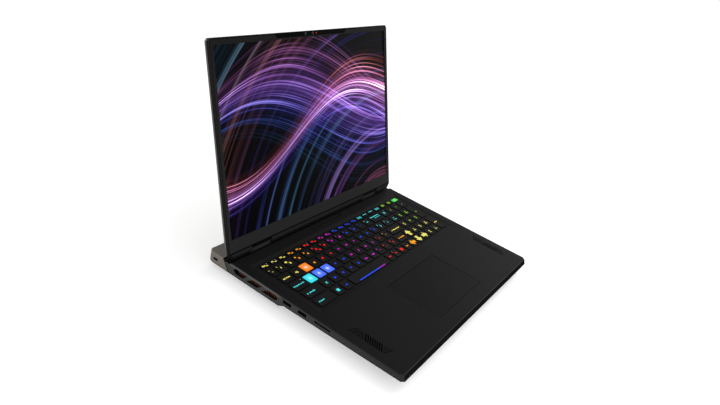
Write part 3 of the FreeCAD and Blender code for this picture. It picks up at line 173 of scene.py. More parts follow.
# Small pieces
FOOT_RIB = 1.0 * MM
FOOT_PITCH = 2.0 * MM
FOOT_GROOVE = 0.5 * MM
FOOT_SIDE = 0.6 * MM
SCREW_STEPS = 48
SCREW_BEVEL = 0.3 * MM
SCREW_HEAD = 1.2 * MM
SCREW_SHANK = 0.55  # shank to head radius
CROSS_REACH = 0.62  # cross recess to head radius
CROSS_ARM = 0.16
CROSS_DEPTH = 0.8 * MM
SMALLEST = 1e-6
NET_WIRE = 0.35 * MM
NET_PITCH = 1.4 * MM
NET_WEAVE = 0.8 * NET_WIRE  # crossing wires above the others
NET_HALF = (22.6 * MM, 21.2 * MM)  # net of an intake
NET_RISE = 0.7 * MM  # and its height above the bottom cover's outside
NET_DROP = 2.2 * NET_WIRE  # net of a speaker below the deck's inside
LENS_RING = 0.22 * MM
LENS_BULGE = 0.175 * MM
LENS_STEPS = 6
LENS_ROUND = 32
CONTACT_COUNT = 4
CONTACT_PITCH = 2.3 * MM
CONTACT_SETBACK = 2.0 * MM  # from the mouth of the port
CONTACT_DROP = 0.85 * MM  # below the middle of the port
CONTACT_WIDTH = 1.0 * MM
CONTACT_LENGTH = 7.5 * MM
CONTACT_RISE = 0.06 * MM
LOCK_WALL = 2.5 * MM  # wall of the exhaust block, and a hair's breadth
LOCK_PLACE = (17.2 * MM, 7.6 * MM)  # lock slot behind the hinge and below the deck
LOCK_HALF = (3.4 * MM, 1.5 * MM)
CHIN_LOW = 3.6 * MM  # lower edge of the bezel above the hinge
GROOVE_WIDTH = 1.0 * MM
SEAM_PLACE = 5.25 * MM  # seam ahead of the exhaust block, behind the hinge at deck height
SEAM_SLANT = 0.794  # its run forwards for each step down
SEAM_HALF = 0.8 * MM
LOCK_CUP = (5.0 * MM, 5.0 * MM, 2.9 * MM)
LOCK_CUP_WALL = 0.8 * MM

# Zones of the surfaces with a tone of their own or with painted light or shade: where each starts and where it is
# full, in millimetres
LID_EDGE_ZONE = (8.0, 10.0)  # up the lid from the hinge
LID_FOOT_ZONE = (1.5, 0.5)
STRIP_BORDER = (-0.4, -0.3)  # from the groove below the bezel
BEZEL_BORDER = (0.4, 0.3)
WALL_ZONE = (-5.0, -4.0)  # from the side of the base
WALL_FACE = (-0.3, -0.1)
COVER_LIP = (-1.5, -1.0)
TROUGH_END = (-0.1, -0.3)
TROUGH_FRONT = (-7.7, -7.5)  # from the hinge
TROUGH_DROP = (-0.2, -0.6)  # from the deck
VENT_FRONT = (-90.0, -84.0)  # from the hinge
VENT_DROP = (-3.8, -2.4)  # from the deck
POCKET_DROP = (-1.1, -1.05)
HINGE_TOP = (-0.6, 0.4)  # from the hinge axis
FIN_TIP = (-3.0, -1.5)  # from the ends of the fins
SEAM_FADE = (0.1, 0.0)  # from the borders of the seam and the lock slot
LOCK_FADE = (0.05, 0.0)
LEFT_HALF = (0.0, -100.0)  # from the middle
CAMERA_ON = (12.0, 11.0)  # between the camera's two lights

# Zones by the turn of a face, as parts of its normal
CUT_EDGE = (0.90, 0.78)  # the largest part
FRONT_BEVEL = (-0.3, -0.5)
RIGHT_BEVEL = (0.3, 0.5)
SIDEWAYS = (0.7, 0.9)
WALL_TURN = (0.60, 0.80)
SLOPE_STEEP = (0.993, 0.987)
SLOPE_FLAT = (0.90, 0.95)
FORWARDS = (-0.65, -0.75)
UPRIGHT = (0.7, 0.4)
CAP_TOP = (0.9, 0.98)

# Unevenness of the surfaces: size, detail and roughness of a noise
BROAD_NOISE = (14.0, 4.0, 0.55)
COVER_NOISE = (12.0, 4.0, 0.55)
FINE_DETAIL = (3.0, 0.6)
FINE_SHARE = 0.4  # of the fine noise in the tone
GLOSS_SPREAD = 0.07  # roughness above and below its mean
BUMP_STRENGTH = 0.35

LIGHT_COLOURS = {  # colour of the lit print and its strength
    "yellow": ((238, 224, 100), 1.3),
    "orange": ((244, 150, 10), 1.5),
    "red": ((240, 16, 6), 1.7),
    "magenta": ((200, 14, 190), 1.6),
    "blue": ((20, 68, 244), 1.4),
    "cyan": ((66, 210, 214), 1.3),
    "green": ((140, 206, 6), 1.3),
    "white": ((235, 235, 235), 1.1),
    "pale_yellow": ((238, 226, 112), 1.0),
    "amber": ((242, 160, 22), 1.0),
    "pale_green": ((170, 240, 170), 1.0),
}
SHIFTED = dict(zip("`1234567890-=[]\\;',./", "~!@#$%^&*()_+{}|:\"<>?"))
PAD_WORDS = {"7": "Home", "8": "up", "9": "PgUp", "4": "left", "6": "right", "1": "End", "2": "down",
             "3": "PgDn", "0": "Ins", ".": "Del"}
SYMBOLS = {"Tab": "tab", "Shift": "up", "Enter": "turn"}
THIRD_SIGNS = {"5": "\u20ac"}
LINES = {  # width and lines of labels in small print
    "PrtSc": (9.4 * MM, ("Print", "Screen")),
    "Ins": (9.4 * MM, ("Insert",)),
    "Del": (9.4 * MM, ("Delete",)),
    "Pause": (9.6 * MM, ("Pause", "Break")),
    "PgUp": (6.4 * MM, ("Page", "Up")),
    "PgDn": (6.4 * MM, ("Page", "Dn")),
    "NumLk": (5.4 * MM, ("Num", "Lk")),
}
LEGENDS = {  # keys of each node from back left to front right, and how many in a row have a colour
    "keys_function_row": (
        "Esc F1 F2 F3 F4 F5 F6 F7 F8 F9 F10 F11 F12 PrtSc Ins Del Pause PgUp PgDn",
        "yellow 3 orange 2 red 2 magenta 2 blue 4 cyan 4 green 2",
    ),
    "key_power": ("power", "pale_green 1"),
    "keys_number_row": (
        "` 1 2 3 4 5 6 7 8 9 0 - = Backspace",
        "yellow 3 orange 2 red 2 magenta 2 blue 3 cyan 2",
    ),
    "keys_upper_row": ("Tab Q E R T Y U I O P [ ] \\", "yellow 2 orange 1 red 2 magenta 3 blue 3 cyan 2"),
    "key_w": ("W", "white 1"),
    "keys_home_row": ("CapsLock F G H J K L ; '", "cyan 1 blue 2 magenta 4 red 1 orange 1"),
    "key_a": ("A", "white 1"),
    "key_s": ("S", "white 1"),
    "key_d": ("D", "white 1"),
    "key_enter": ("Enter", "yellow 1"),
    "keys_lower_row": ("Shift Z X C V B N M , . / Shift", "cyan 2 blue 4 magenta 3 red 2 orange 1"),
    "key_arrow_up": ("up", "pale_yellow 1"),
    "keys_bottom_row": ("Ctrl square Alt Alt \\ square Ctrl", "cyan 2 blue 1 red 3 orange 1"),
    "key_space": ("bar", "blue 1"),
    "key_arrow_left": ("left", "amber 1"),
    "key_arrow_down": ("down", "pale_yellow 1"),
    "key_arrow_right": ("right", "pale_yellow 1"),
    "keys_number_pad": (
        "NumLk / * - 7 8 9 + 4 5 6 1 2 3 Enter 0 .",
        "cyan 1 green 3 cyan 1 green 3 yellow 1 green 2 yellow 6",
    ),
}
DOTTED = {"keys_function_row": (0, 1, 5), "keys_home_row": (0,), "keys_number_pad": (0,)}
LIT_CAPS = {  # colours of the lit caps: at the rim, and round the letter
    "key_w": ((250, 132, 44), (255, 182, 96)),
    "key_a": ((60, 226, 240), (128, 244, 252)),
    "key_s": ((78, 116, 250), (134, 166, 255)),
    "key_d": ((78, 116, 250), (134, 166, 255)),
    "key_power": ((64, 200, 72), (120, 232, 124)),
}
ARROW_TURNS = {"right": 0.0, "up": 90.0, "left": 180.0, "down": 270.0}


def linear(value):
    value = value / 255.0
    return value / 12.92 if value <= 0.04045 else ((value + 0.055) / 1.055) ** 2.4


def srgb(red, green, blue):
    """A colour written as screen values from 0 to 255."""
    return (linear(red), linear(green), linear(blue), 1.0)


def grey(value):
    return srgb(value, value, value)


def shade(colour, share):
    return tuple(min(part * share, 1.0) for part in colour[:3]) + (1.0,)


class Shader:
    """A material's node tree, with short calls for the nodes used here."""

    def __init__(self, name):
        self.material = bpy.data.materials.new(name)
        self.material.use_nodes = True
        self.tree = self.material.node_tree
        self.surface = self.tree.nodes["Principled BSDF"]
        where = self.tree.nodes.new("ShaderNodeTexCoord").outputs
        self.place = where["Object"]
        self.normal = where["Normal"]

    def put(self, socket, value):
        if isinstance(value, bpy.types.NodeSocket):
            self.tree.links.new(value, socket)
        else:
            socket.default_value = value

    def node(self, kind, inputs, **settings):
        made = self.tree.nodes.new(kind)
        for key, value in settings.items():
            setattr(made, key, value)
        for key, value in inputs.items():
            self.put(made.inputs[key], value)
        return made

    def set(self, **sockets):
        """Set sockets of the surface shader; an underscore stands for a space."""
        for key, value in sockets.items():
            self.put(self.surface.inputs[key.replace("_", " ")], value)
        return self.material

    def math(self, operation, *values):
        return self.node("ShaderNodeMath", dict(enumerate(values)), operation=operation).outputs[0]

    def vector(self, operation, *values):
        return self.node("ShaderNodeVectorMath", dict(enumerate(values)), operation=operation).outputs[0]

    def times(self, first, *others):
        for other in others:
            first = self.math("MULTIPLY", first, other)
        return first

    def plus(self, first, second):
        return self.math("ADD", first, second)

    def reach(self, x, y):
        """How far a point is from the middle."""
        return self.math("SQRT", self.plus(self.times(x, x), self.times(y, y)))

    def split(self, vector):
        return self.node("ShaderNodeSeparateXYZ", {"Vector": vector}).outputs

    def sizes(self, vector):
        """The three parts of a vector, without their signs."""
        return self.split(self.vector("ABSOLUTE", vector))

    def join(self, x, y, z):
        return self.node("ShaderNodeCombineXYZ", {"X": x, "Y": y, "Z": z}).outputs[0]

    def noise(self, vector, scale, detail=2.0, roughness=0.5):
        inputs = {"Vector": vector, "Scale": scale, "Detail": detail, "Roughness": roughness}
        return self.node("ShaderNodeTexNoise", inputs).outputs[0]

    def span(self, value, low, high, to_low=0.0, to_high=1.0):
        """Carry a value from one span to another, held at its ends."""
        inputs = {"Value": value, "From Min": low, "From Max": high, "To Min": to_low, "To Max": to_high}
        return self.node("ShaderNodeMapRange", inputs).outputs[0]

    def zone(self, value, place, ends):
        """A share that grows from none to all between two ends, in millimetres from a place."""
        return self.span(value, place + ends[0] * MM, place + ends[1] * MM)

    def ramp(self, factor, stops):
        made = self.node("ShaderNodeValToRGB", {"Fac": factor})
        elements = made.color_ramp.elements
        while len(elements) < len(stops):
            elements.new(1.0)
        for element, (position, colour) in zip(elements, stops):
            element.position = position
            element.color = colour
        return made.outputs["Color"]

    def mix(self, factor, first, second, blend="MIX"):
        made = self.node("ShaderNodeMix", {0: factor}, data_type="RGBA", blend_type=blend)
        self.put(made.inputs[6], first)
        self.put(made.inputs[7], second)
        return made.outputs[2]

    def lit(self, base, tone, strength=1.0, roughness=0.5, specular=0.02):
        """Make the surface one that gives light."""
        self.set(Base_Color=base, Roughness=roughness, Specular_IOR_Level=specular)
        return self.set(Emission_Color=tone, Emission_Strength=strength)

    def bump(self, height, distance, strength=1.0):
        inputs = {"Height": height, "Distance": distance, "Strength": strength}
        return self.node("ShaderNodeBump", inputs).outputs[0]


def slanted(shader, normal):
    """How far a face leans away from the straight faces of its body, which marks its bevels, in patches. The
    materials paint most bevels paler, as a highlight and partly as wear, and the deck's right bevel darker, as
    shade.
    """
    x, y, z = shader.sizes(normal)
    largest = shader.math("MAXIMUM", shader.math("MAXIMUM", x, y), z)
    patches = shader.span(shader.noise(shader.place, *BROAD_NOISE), 0.2, 0.7, 0.55, 1.0)
    return shader.times(shader.span(largest, *CUT_EDGE), patches)


def base_edges(shader):
    return slanted(shader, shader.normal)


def painted_highlight_front_bevel(shader):
    """The bevel along the deck's front edge, painted pale as a highlight."""
    return shader.times(base_edges(shader), shader.span(shader.split(shader.normal)[1], *FRONT_BEVEL))


def painted_shade_right_bevel(shader):
    """The bevel along the deck's right edge, painted dark as shade."""
    return shader.times(base_edges(shader), shader.span(shader.split(shader.normal)[0], *RIGHT_BEVEL))


def lid_height(shader):
    """How far a point is up the lid from the hinge."""
    _, y, z = shader.split(shader.vector("SUBTRACT", shader.place, tuple(HINGE_PLACE)))
    return shader.plus(shader.times(y, math.sin(LEAN)), shader.times(z, math.cos(LEAN)))


def lid_edges(shader):
    """The bevels of the open lid above its hinges, in patches, which the materials paint paler as a highlight and
    partly as wear.
    """
    turn = {"Vector": shader.normal, "Angle": -LEAN}
    normal = shader.node("ShaderNodeVectorRotate", turn, rotation_type="X_AXIS").outputs[0]
    return shader.times(slanted(shader, normal), shader.zone(lid_height(shader), 0.0, LID_EDGE_ZONE))


def lid_foot(shader):
    """The lid's lowest part, which turns in the trough."""
    return shader.zone(lid_height(shader), 0.0, LID_FOOT_ZONE)


def painted_shade_groove_above(shader):
    """The hinge strip's border at the groove below the bezel, painted dark as the groove's shade."""
    return shader.zone(lid_height(shader), CHIN_LOW - GROOVE_WIDTH, STRIP_BORDER)


def painted_shade_groove_below(shader):
    """The bezel's border at that groove, painted dark as its shade."""
    return shader.zone(lid_height(shader), CHIN_LOW, BEZEL_BORDER)


def painted_light_sides(shader):
    """Faces that look to the left or right, which are painted paler as if lit from the side."""
    return shader.span(shader.sizes(shader.normal)[0], *SIDEWAYS)


def painted_shade_fronts(shader):
    """Faces that look to the front, which are painted dark as shade."""
    return shader.span(shader.split(shader.normal)[1], *FORWARDS)


def painted_shade_flanks(shader):
    """Faces that stand upright, such as the sides of a key cap, which are painted dark as the shade in the gaps
    and recesses.
    """
    return shader.span(shader.sizes(shader.normal)[2], *UPRIGHT)


def walls(shader):
    """The base's outer side walls and front corners, which are painted paler than the deck, as light from the
    side.
    """
    near = shader.zone(shader.sizes(shader.place)[0], BASE_HALF, WALL_ZONE)
    return shader.times(near, shader.span(shader.sizes(shader.normal)[0], *WALL_TURN))


def painted_light_vent_strip(shader):
    """The strip of the side walls over the vents, painted pale as a lit band."""
    x, y, z = shader.split(shader.place)
    out = shader.zone(shader.math("ABSOLUTE", x), BASE_HALF, WALL_FACE)
    behind = shader.zone(y, HINGE_PLACE.y, VENT_FRONT)
    return shader.times(out, behind, shader.zone(z, DECK, VENT_DROP))


def painted_light_pocket_slopes(shader):
    """The sloping sides of the pocket round the keys, painted a little paler as light."""
    upward = shader.split(shader.normal)[2]
    leaning = shader.times(shader.span(upward, *SLOPE_STEEP), shader.span(upward, *SLOPE_FLAT))
    return shader.times(leaning, shader.zone(shader.split(shader.place)[2], DECK, POCKET_DROP))


def painted_shade_above_hinge(shader):
    """What is above the hinge axis, painted dark as shade on the hinge's top."""
    return shader.zone(shader.split(shader.place)[2], HINGE_PLACE.z, HINGE_TOP)


def seam(shader):
    """The shadowed borders of the slanting seam between the deck and the exhaust block."""
    _, y, z = shader.split(shader.place)
    drop = shader.times(shader.math("SUBTRACT", DECK, z), SEAM_SLANT)
    aside = shader.math("SUBTRACT", shader.plus(y, drop), HINGE_PLACE.y + SEAM_PLACE)
    return shader.zone(shader.math("ABSOLUTE", aside), SEAM_HALF, SEAM_FADE)


def painted_shade_lock_slot(shader):
    """The inside of the lock slot in the exhaust block's left wall, painted dark as its shade."""
    middle = (0.0, HINGE_PLACE.y + LOCK_PLACE[0], DECK - LOCK_PLACE[1])
    x, y, z = shader.split(shader.vector("SUBTRACT", shader.place, middle))
    wide = shader.zone(shader.math("ABSOLUTE", y), LOCK_HALF[0], LOCK_FADE)
    tall = shader.zone(shader.math("ABSOLUTE", z), LOCK_HALF[1], LOCK_FADE)
    return shader.times(shader.zone(x, 0.0, LEFT_HALF), wide, tall)


def trough(shader):
    """The inside of the trough that the lid turns in, painted dark as its shade."""
    x, y, z = shader.split(shader.place)
    inside = shader.zone(shader.math("ABSOLUTE", x), BASE_HALF, TROUGH_END)
    deep = shader.zone(z, DECK, TROUGH_DROP)
    return shader.times(inside, deep, shader.zone(y, HINGE_PLACE.y, TROUGH_FRONT))


def fin_ends_clear_of_painted_shade(shader):
    """The ends of the cooling fins, left in their copper colour; the rest of each fin is painted dark as shade."""
    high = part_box("fin_stack_right")[1]
    x, y, _ = shader.sizes(shader.place)
    return shader.math("MAXIMUM", shader.zone(x, high.x, FIN_TIP), shader.zone(y, high.y, FIN_TIP))


def painted_light_wall_tone(shader):
    """The side wall's tone, painted as light from the side: paler than the deck, and paler still towards the rear.
    """
    y = shader.split(shader.place)[1]
    return shader.ramp(shader.span(y, BASE_FRONT, HINGE_PLACE.y), ((0.0, grey(53)), (1.0, grey(72))))


def bezel_tone(shader):
    """The bezel's tone, paler near the hinge and darker towards its top."""
    return shader.ramp(shader.span(lid_height(shader), 0.0, 0.25), ((0.0, grey(43)), (1.0, grey(28))))


def finish(name, colour, roughness, specular=0.2, metallic=0.0, grain=0.3, relief=0.04, mottle=0.10,
           parts=(), stretch=(1.0, 1.0, 1.0), dull=()):
    """A moulded, painted or blasted surface. Its texture has a grain and a relief in millimetres.

    Colours may be functions of the shader. Parts are shares of the surface with a colour of their own
    or with painted light or shade, later ones over earlier ones. Dull shares have no gloss."""
    shader = Shader(name)
    fine = shader.noise(shader.vector("MULTIPLY", shader.place, stretch), 1.0 / (grain * MM), *FINE_DETAIL)
    broad = shader.noise(shader.place, *BROAD_NOISE)
    blend = shader.plus(shader.times(fine, FINE_SHARE), shader.times(broad, 1.0 - FINE_SHARE))
    tone = colour(shader) if callable(colour) else colour
    for share, part in parts:
        tone = shader.mix(share(shader), tone, part(shader) if callable(part) else part)
    uneven = shader.ramp(blend, ((0.30, (1.0 - mottle,) * 3 + (1.0,)), (0.70, WHITE)))
    shader.set(Base_Color=shader.mix(1.0, tone, uneven, "MULTIPLY"))
    for share in dull:
        specular = shader.times(shader.math("SUBTRACT", 1.0, share(shader)), specular)
    shader.set(Metallic=metallic, Specular_IOR_Level=specular)
    gloss = (roughness - GLOSS_SPREAD, roughness + GLOSS_SPREAD)
    shader.set(Roughness=shader.span(fine, 0.25, 0.75, *gloss))
    return shader.set(Normal=shader.bump(fine, relief * MM, BUMP_STRENGTH))


def glow(name, colour, strength=1.0, spread=0.12):
    """A lamp-lit plastic or print, a little uneven as real back light is."""
    shader = Shader(name)
    uneven = shader.noise(shader.place, 320.0)
    tone = shader.ramp(uneven, ((0.30, shade(colour, 1.0 - spread)), (0.70, shade(colour, 1.0 + spread))))
    return shader.lit(shade(colour, 0.05), tone, strength)


def cap_glow(node, colour, middle_colour):
    """A lit key cap, palest round the letter in its middle and dark down its sides."""
    shader = Shader("lit_" + node)
    low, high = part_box(node)
    x, y, _ = shader.split(shader.vector("SUBTRACT", shader.place, tuple((low + high) / 2)))
    reach = shader.reach(x, y)
    uneven = shader.noise(shader.place, 260.0)
    far = shader.plus(shader.math("DIVIDE", reach, LIT_REACH), shader.times(uneven, 0.2))
    rim = srgb(*colour)
    tone = shader.ramp(far, ((0.10, srgb(*middle_colour)), (0.60, rim), (1.0, shade(rim, 0.9))))
    upward = shader.split(shader.normal)[2]
    tone = shader.mix(shader.span(upward, *CAP_TOP), shade(rim, 0.03), tone)
    return shader.lit(shade(rim, 0.05), tone)


def sine_of(shader, value, pace, phase):
    return shader.math("SINE", shader.math("MULTIPLY_ADD", value, pace, phase))


def trails(shader, flow, along, lines, seed):
    """Thin light trails: bright where a noise, drawn out along the flow, has its crests."""
    fine = shader.join(shader.times(flow, lines), shader.times(along, TRAIL_PACE), seed)
    crest = shader.span(shader.noise(fine, 1.0, 2.0, 0.6), *TRAIL_CRESTS)
    group = shader.join(shader.times(flow, GROUP_SHARE * lines), shader.times(along, GROUP_PACE), -seed)
    grouped = shader.span(shader.noise(group, 1.0, 1.0, 0.5), *GROUP_SPAN)
    return shader.times(shader.math("POWER", crest, TRAIL_SHARPNESS), grouped)


def lit_trails(shader, light, place, colours):
    """Colour the trails by their place, with white-hot cores where they are brightest."""
    tone = shader.ramp(place, [(stop, srgb(*colour)) for stop, colour in colours])
    core = shader.times(shader.math("POWER", light, CORE_SHARPNESS), CORE_SHARE)
    return shader.mix(1.0, shader.mix(1.0, tone, light, "MULTIPLY"), core, "ADD")


def ribbon(shader, across, up, line, spread, lines, seed, gain, colours):
    """One bundle of trails along a wavy line, with a faint haze. It narrows and widens on its way."""
    height, pace, phase, tilt, rise = line
    wave = shader.times(sine_of(shader, across, pace, phase), height)
    middle = shader.plus(wave, shader.math("MULTIPLY_ADD", across, tilt, rise))
    width, swell, swell_pace, swell_phase = spread
    half = shader.math("MULTIPLY_ADD", sine_of(shader, across, swell_pace, swell_phase), swell, width)
    flow = shader.math("DIVIDE", shader.math("SUBTRACT", up, middle), half)
    body = shader.span(shader.math("ABSOLUTE", flow), RIBBON_END, 0.0)
    drawn = shader.times(trails(shader, flow, across, lines, seed), shader.math("POWER", body, RIBBON_FADE))
    haze = shader.times(shader.math("POWER", body, HAZE_FADE), HAZE_SHARE)
    light = shader.times(shader.plus(drawn, haze), gain)
    return lit_trails(shader, light, shader.span(flow, -RIBBON_END, RIBBON_END), colours)


def arcs(shader, across, up, middle, span, lines, seed, gain, colours):
    """Faint round trails about a point outside the picture."""
    x = shader.math("SUBTRACT", across, middle[0])
    y = shader.math("SUBTRACT", up, middle[1])
    reach = shader.reach(x, y)
    light = shader.times(trails(shader, reach, shader.math("ARCTAN2", y, x), lines, seed), gain)
    return lit_trails(shader, light, shader.span(reach, *span), colours)


def make_screen():
    """A dark picture of flowing light trails, in waves from side to side."""
    shader = Shader("screen_picture")
    across = shader.times(shader.split(shader.place)[0], 1.0 / SCREEN_UNIT)
    up = shader.times(shader.math("SUBTRACT", lid_height(shader), SCREEN_MIDDLE), 1.0 / SCREEN_UNIT)
    layers = [ribbon(shader, across, up, *settings) for settings in RIBBONS]
    picture = layers[0]
    for layer in layers[1:] + [arcs(shader, across, up, *ARCS)]:
        picture = shader.mix(1.0, picture, layer, "ADD")
    return shader.lit(srgb(6, 6, 7), picture, roughness=0.38, specular=0.01)


def make_light_bar():
    """The lit strip on the space bar, blue with its right end magenta."""
    shader = Shader("space_light")
    x = shader.split(shader.place)[0]
    low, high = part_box("key_space")
    left, right = [low.x + share * (high.x - low.x) for share in BAR_SPAN]
    tone = shader.ramp(shader.span(x, left, right), (
        (0.0, srgb(30, 76, 246)), (0.70, srgb(34, 80, 246)), (0.80, srgb(150, 30, 210)),
        (1.0, srgb(200, 24, 184))))
    return shader.lit(srgb(10, 10, 30), tone)


def make_cover():
    """The bottom cover: dark underneath, with a warm metal lip along the side walls."""
    shader = Shader("cover_dark")
    fine = shader.noise(shader.place, 1.0 / (0.5 * MM), *FINE_DETAIL)
    broad = shader.noise(shader.place, *COVER_NOISE)
    lip = shader.zone(shader.sizes(shader.place)[0], BASE_HALF, COVER_LIP)
    dark = shader.ramp(broad, ((0.3, grey(22)), (0.7, grey(30))))
    warm = shader.ramp(fine, ((0.3, srgb(18, 15, 13)), (0.7, srgb(26, 22, 19))))
    shader.set(Base_Color=shader.mix(lip, dark, warm), Specular_IOR_Level=0.01)
    shader.set(Roughness=shader.span(fine, 0.25, 0.75, 0.45, 0.62))
    return shader.set(Normal=shader.bump(fine, 0.06 * MM, 0.4))


def make_camera_light():
    """The camera's signal lights, of which the left one is on."""
    shader = Shader("light_red")
    x = shader.split(shader.place)[0]
    uneven = shader.noise(shader.place, 900.0)
    tone = shader.ramp(uneven, ((0.3, srgb(190, 22, 14)), (0.7, srgb(230, 40, 28))))
    return shader.lit(srgb(20, 4, 4), tone, shader.zone(x, 0.0, CAMERA_ON), roughness=0.4)


def make_materials():
    """One material for each slot of the record, and some for the scene's own pieces."""
    # This beige is painted on bevels, as a highlight and partly as wear.
    beige_wear_and_highlight = srgb(132, 125, 118)
    made = {
        # Painted light and shade on the deck: dark upright faces, paler pocket slopes, a dark right bevel, a pale
        # front bevel, paler side walls with a pale band over the vents, dark front faces, a dark trough and a dark
        # seam.
        "deck_black": finish("deck_black", grey(22), 0.48, 0.015, parts=(
            (painted_shade_flanks, grey(2)), (painted_light_pocket_slopes, grey(25)), (painted_shade_right_bevel, grey(8)), (painted_highlight_front_bevel, grey(62)),
            (walls, painted_light_wall_tone), (painted_light_vent_strip, grey(94)), (painted_shade_fronts, grey(23)), (trough, grey(6)),
            (seam, grey(4))), dull=(painted_shade_right_bevel, painted_shade_fronts, seam)),
        # Painted light and shade on the exhaust block: paler sides, pale bevels partly as wear, dark front faces,
        # a dark seam and a dark lock slot.
        "titan_grey": finish("titan_grey", srgb(98, 93, 88), 0.45, 0.12, 0.1, 0.2, 0.03, 0.09, parts=(
            (painted_light_sides, srgb(118, 111, 105)), (base_edges, beige_wear_and_highlight), (painted_shade_fronts, grey(5)), (seam, grey(4)),
            (painted_shade_lock_slot, grey(2))), dull=(seam, painted_shade_lock_slot)),
        # The lid's bevels are painted pale, as a highlight and partly as wear.
        "lid_cover": finish("lid_grey", srgb(94, 89, 85), 0.45, 0.12, 0.1, 0.2, 0.03, 0.05, parts=(
            (lid_edges, beige_wear_and_highlight), (lid_foot, grey(6)))),
        "cover_dark": make_cover(),
        "bracket_steel": finish("bracket_steel", grey(150), 0.4, 0.5, 0.9, stretch=(1.0, 8.0, 1.0)),
        # The hinge is painted pale as if lit, and its top dark as shade.
        "hinge_black": finish("hinge_black", grey(56), 0.55, 0.01, parts=((painted_shade_above_hinge, grey(5)),)),
        # The rim's bevels are painted pale, as a highlight and partly as wear.
        "rim_black": finish("rim_black", grey(26), 0.5, 0.02, parts=((lid_edges, grey(52)),)),
        # The groove between the bezel and the hinge strip is painted dark as its shade.
        "bezel_black": finish("bezel_black", bezel_tone, 0.6, 0.02, 0.0, 0.35, 0.05, 0.1,
                              parts=((painted_shade_groove_below, grey(3)),)),
        "strip_black": finish("strip_black", grey(38), 0.55, 0.01, 0.0, 0.35, 0.05, 0.1,
                              parts=((painted_shade_groove_above, grey(3)),)),
        "screen": make_screen(),
        "light_red": make_camera_light(),
        "hinge_steel": finish("hinge_steel", grey(150), 0.35, 0.5, 0.9, stretch=(0.1, 1.0, 1.0)),
        # The fins are painted dark as shade, all but their copper ends.
        "fin_copper": finish("fin_copper", srgb(12, 9, 8), 0.5, 0.01, 0.0, 0.4, 0.03, 0.2,
                             parts=((fin_ends_clear_of_painted_shade, srgb(122, 78, 54)),)),
        # The caps' sides are painted dark as the shade in the gaps.
        "key_black": finish("key_black", grey(20), 0.6, 0.03, 0.0, 0.25, 0.03, 0.1,
                            parts=((painted_shade_flanks, grey(5)),)),
    }
    plain = {  # colour, roughness, specular, metallic, grain, relief and mottle, as finish takes them
        "screw_steel": (grey(80), 0.35, 0.5, 0.9, 0.15, 0.02),
        "pad_black": (grey(16), 0.45, 0.015, 0.0, 0.12, 0.01, 0.05),
        "foot_rubber": (grey(24), 0.85, 0.03, 0.0, 0.8, 0.12, 0.2),
        "seal_rubber": (grey(14), 0.8, 0.01, 0.0, 0.6, 0.06),
        "camera_black": (grey(5), 0.45, 0.005, 0.0, 0.2, 0.01, 0.1),
        "lens_glass": (srgb(8, 8, 11), 0.08, 0.08, 0.0, 0.5, 0.002, 0.3),
        "tray_black": (grey(5), 0.8, 0.01),
        "port_metal": (grey(34), 0.4, 0.1, 0.5, 0.15, 0.01),
        "board_green": (srgb(18, 70, 48), 0.4, 0.4, 0.0, 1.2, 0.08, 0.4),
        "plate_copper": (srgb(196, 120, 84), 0.35, 0.5, 0.9, 0.5, 0.02, 0.2),
        "chip_black": (grey(10), 0.7, 0.01, 0.0, 0.5, 0.03),
        "fan_black": (grey(20), 0.5, 0.05, 0.0, 0.5, 0.03),
        "contact_gold": (srgb(200, 150, 70), 0.3, 0.5, 0.9, 0.2, 0.01),
        "net_black": (grey(6), 0.8, 0.01, 0.0, 0.2, 0.02),
    }
    for name, settings in plain.items():
        made[name] = finish(name, *settings)
    for node, colours in LIT_CAPS.items():
        made[node] = made[SLOTS[node]] = cap_glow(node, *colours)
    return made


def dress_nodes(materials):
    """Give every CAD node its own material, or that of its slot."""
    for name, node in frame["nodes"].items():
        node.data.materials.clear()
        node.data.materials.append(materials.get(name, materials[SLOTS[name]]))


def corners(points):
    """Lowest and highest corner of the box round some points."""
    low = Vector(min(point[axis] for point in points) for axis in range(3))
    high = Vector(max(point[axis] for point in points) for axis in range(3))
    return low, high


def solids(node):
    """Lowest and highest corner of each separate solid of a CAD node, from back left to front right."""
    shape = bmesh.new()
    shape.from_mesh(frame["nodes"][node].data)
    bmesh.ops.remove_doubles(shape, verts=shape.verts[:], dist=0.001 * MM)
    waiting = set(shape.verts)
    boxes = []
    while waiting:
        edge_of_search = [waiting.pop()]
        found = []
        while edge_of_search:
            vertex = edge_of_search.pop()
            found.append(vertex.co)
            near = {edge.other_vert(vertex) for edge in vertex.link_edges} & waiting
            waiting -= near
            edge_of_search.extend(near)
        boxes.append(corners(found))
    shape.free()
    return sorted(boxes, key=lambda box: (-round(box[1].y / MM), box[0].x))


def add_piece(name, shape, materials, body, angle=40.0):
    """Turn a finished shape into a piece that rides on a body."""
    bmesh.ops.recalc_face_normals(shape, faces=shape.faces[:])
    mesh = bpy.data.meshes.new(name)
    shape.to_mesh(mesh)
    shape.free()
    for material in materials:
        mesh.materials.append(material)
    mesh.shade_smooth()
    mesh.set_sharp_from_angle(angle=math.radians(angle))
    made = bpy.data.objects.new(name, mesh)
    bpy.context.scene.collection.objects.link(made)
    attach(made, body)
    return made


def loft(shape, loops, index=0):
    """Close a row of loops, each of as many points, into one skin."""
    rings = [[shape.verts.new(point) for point in loop] for loop in loops]
    for near, far in zip(rings, rings[1:]):
        for place in range(len(near)):
            face = shape.faces.new((near[place - 1], near[place], far[place], far[place - 1]))
            face.material_index = index
    for ring in (rings[0][::-1], rings[-1]):
        shape.faces.new(ring).material_index = index


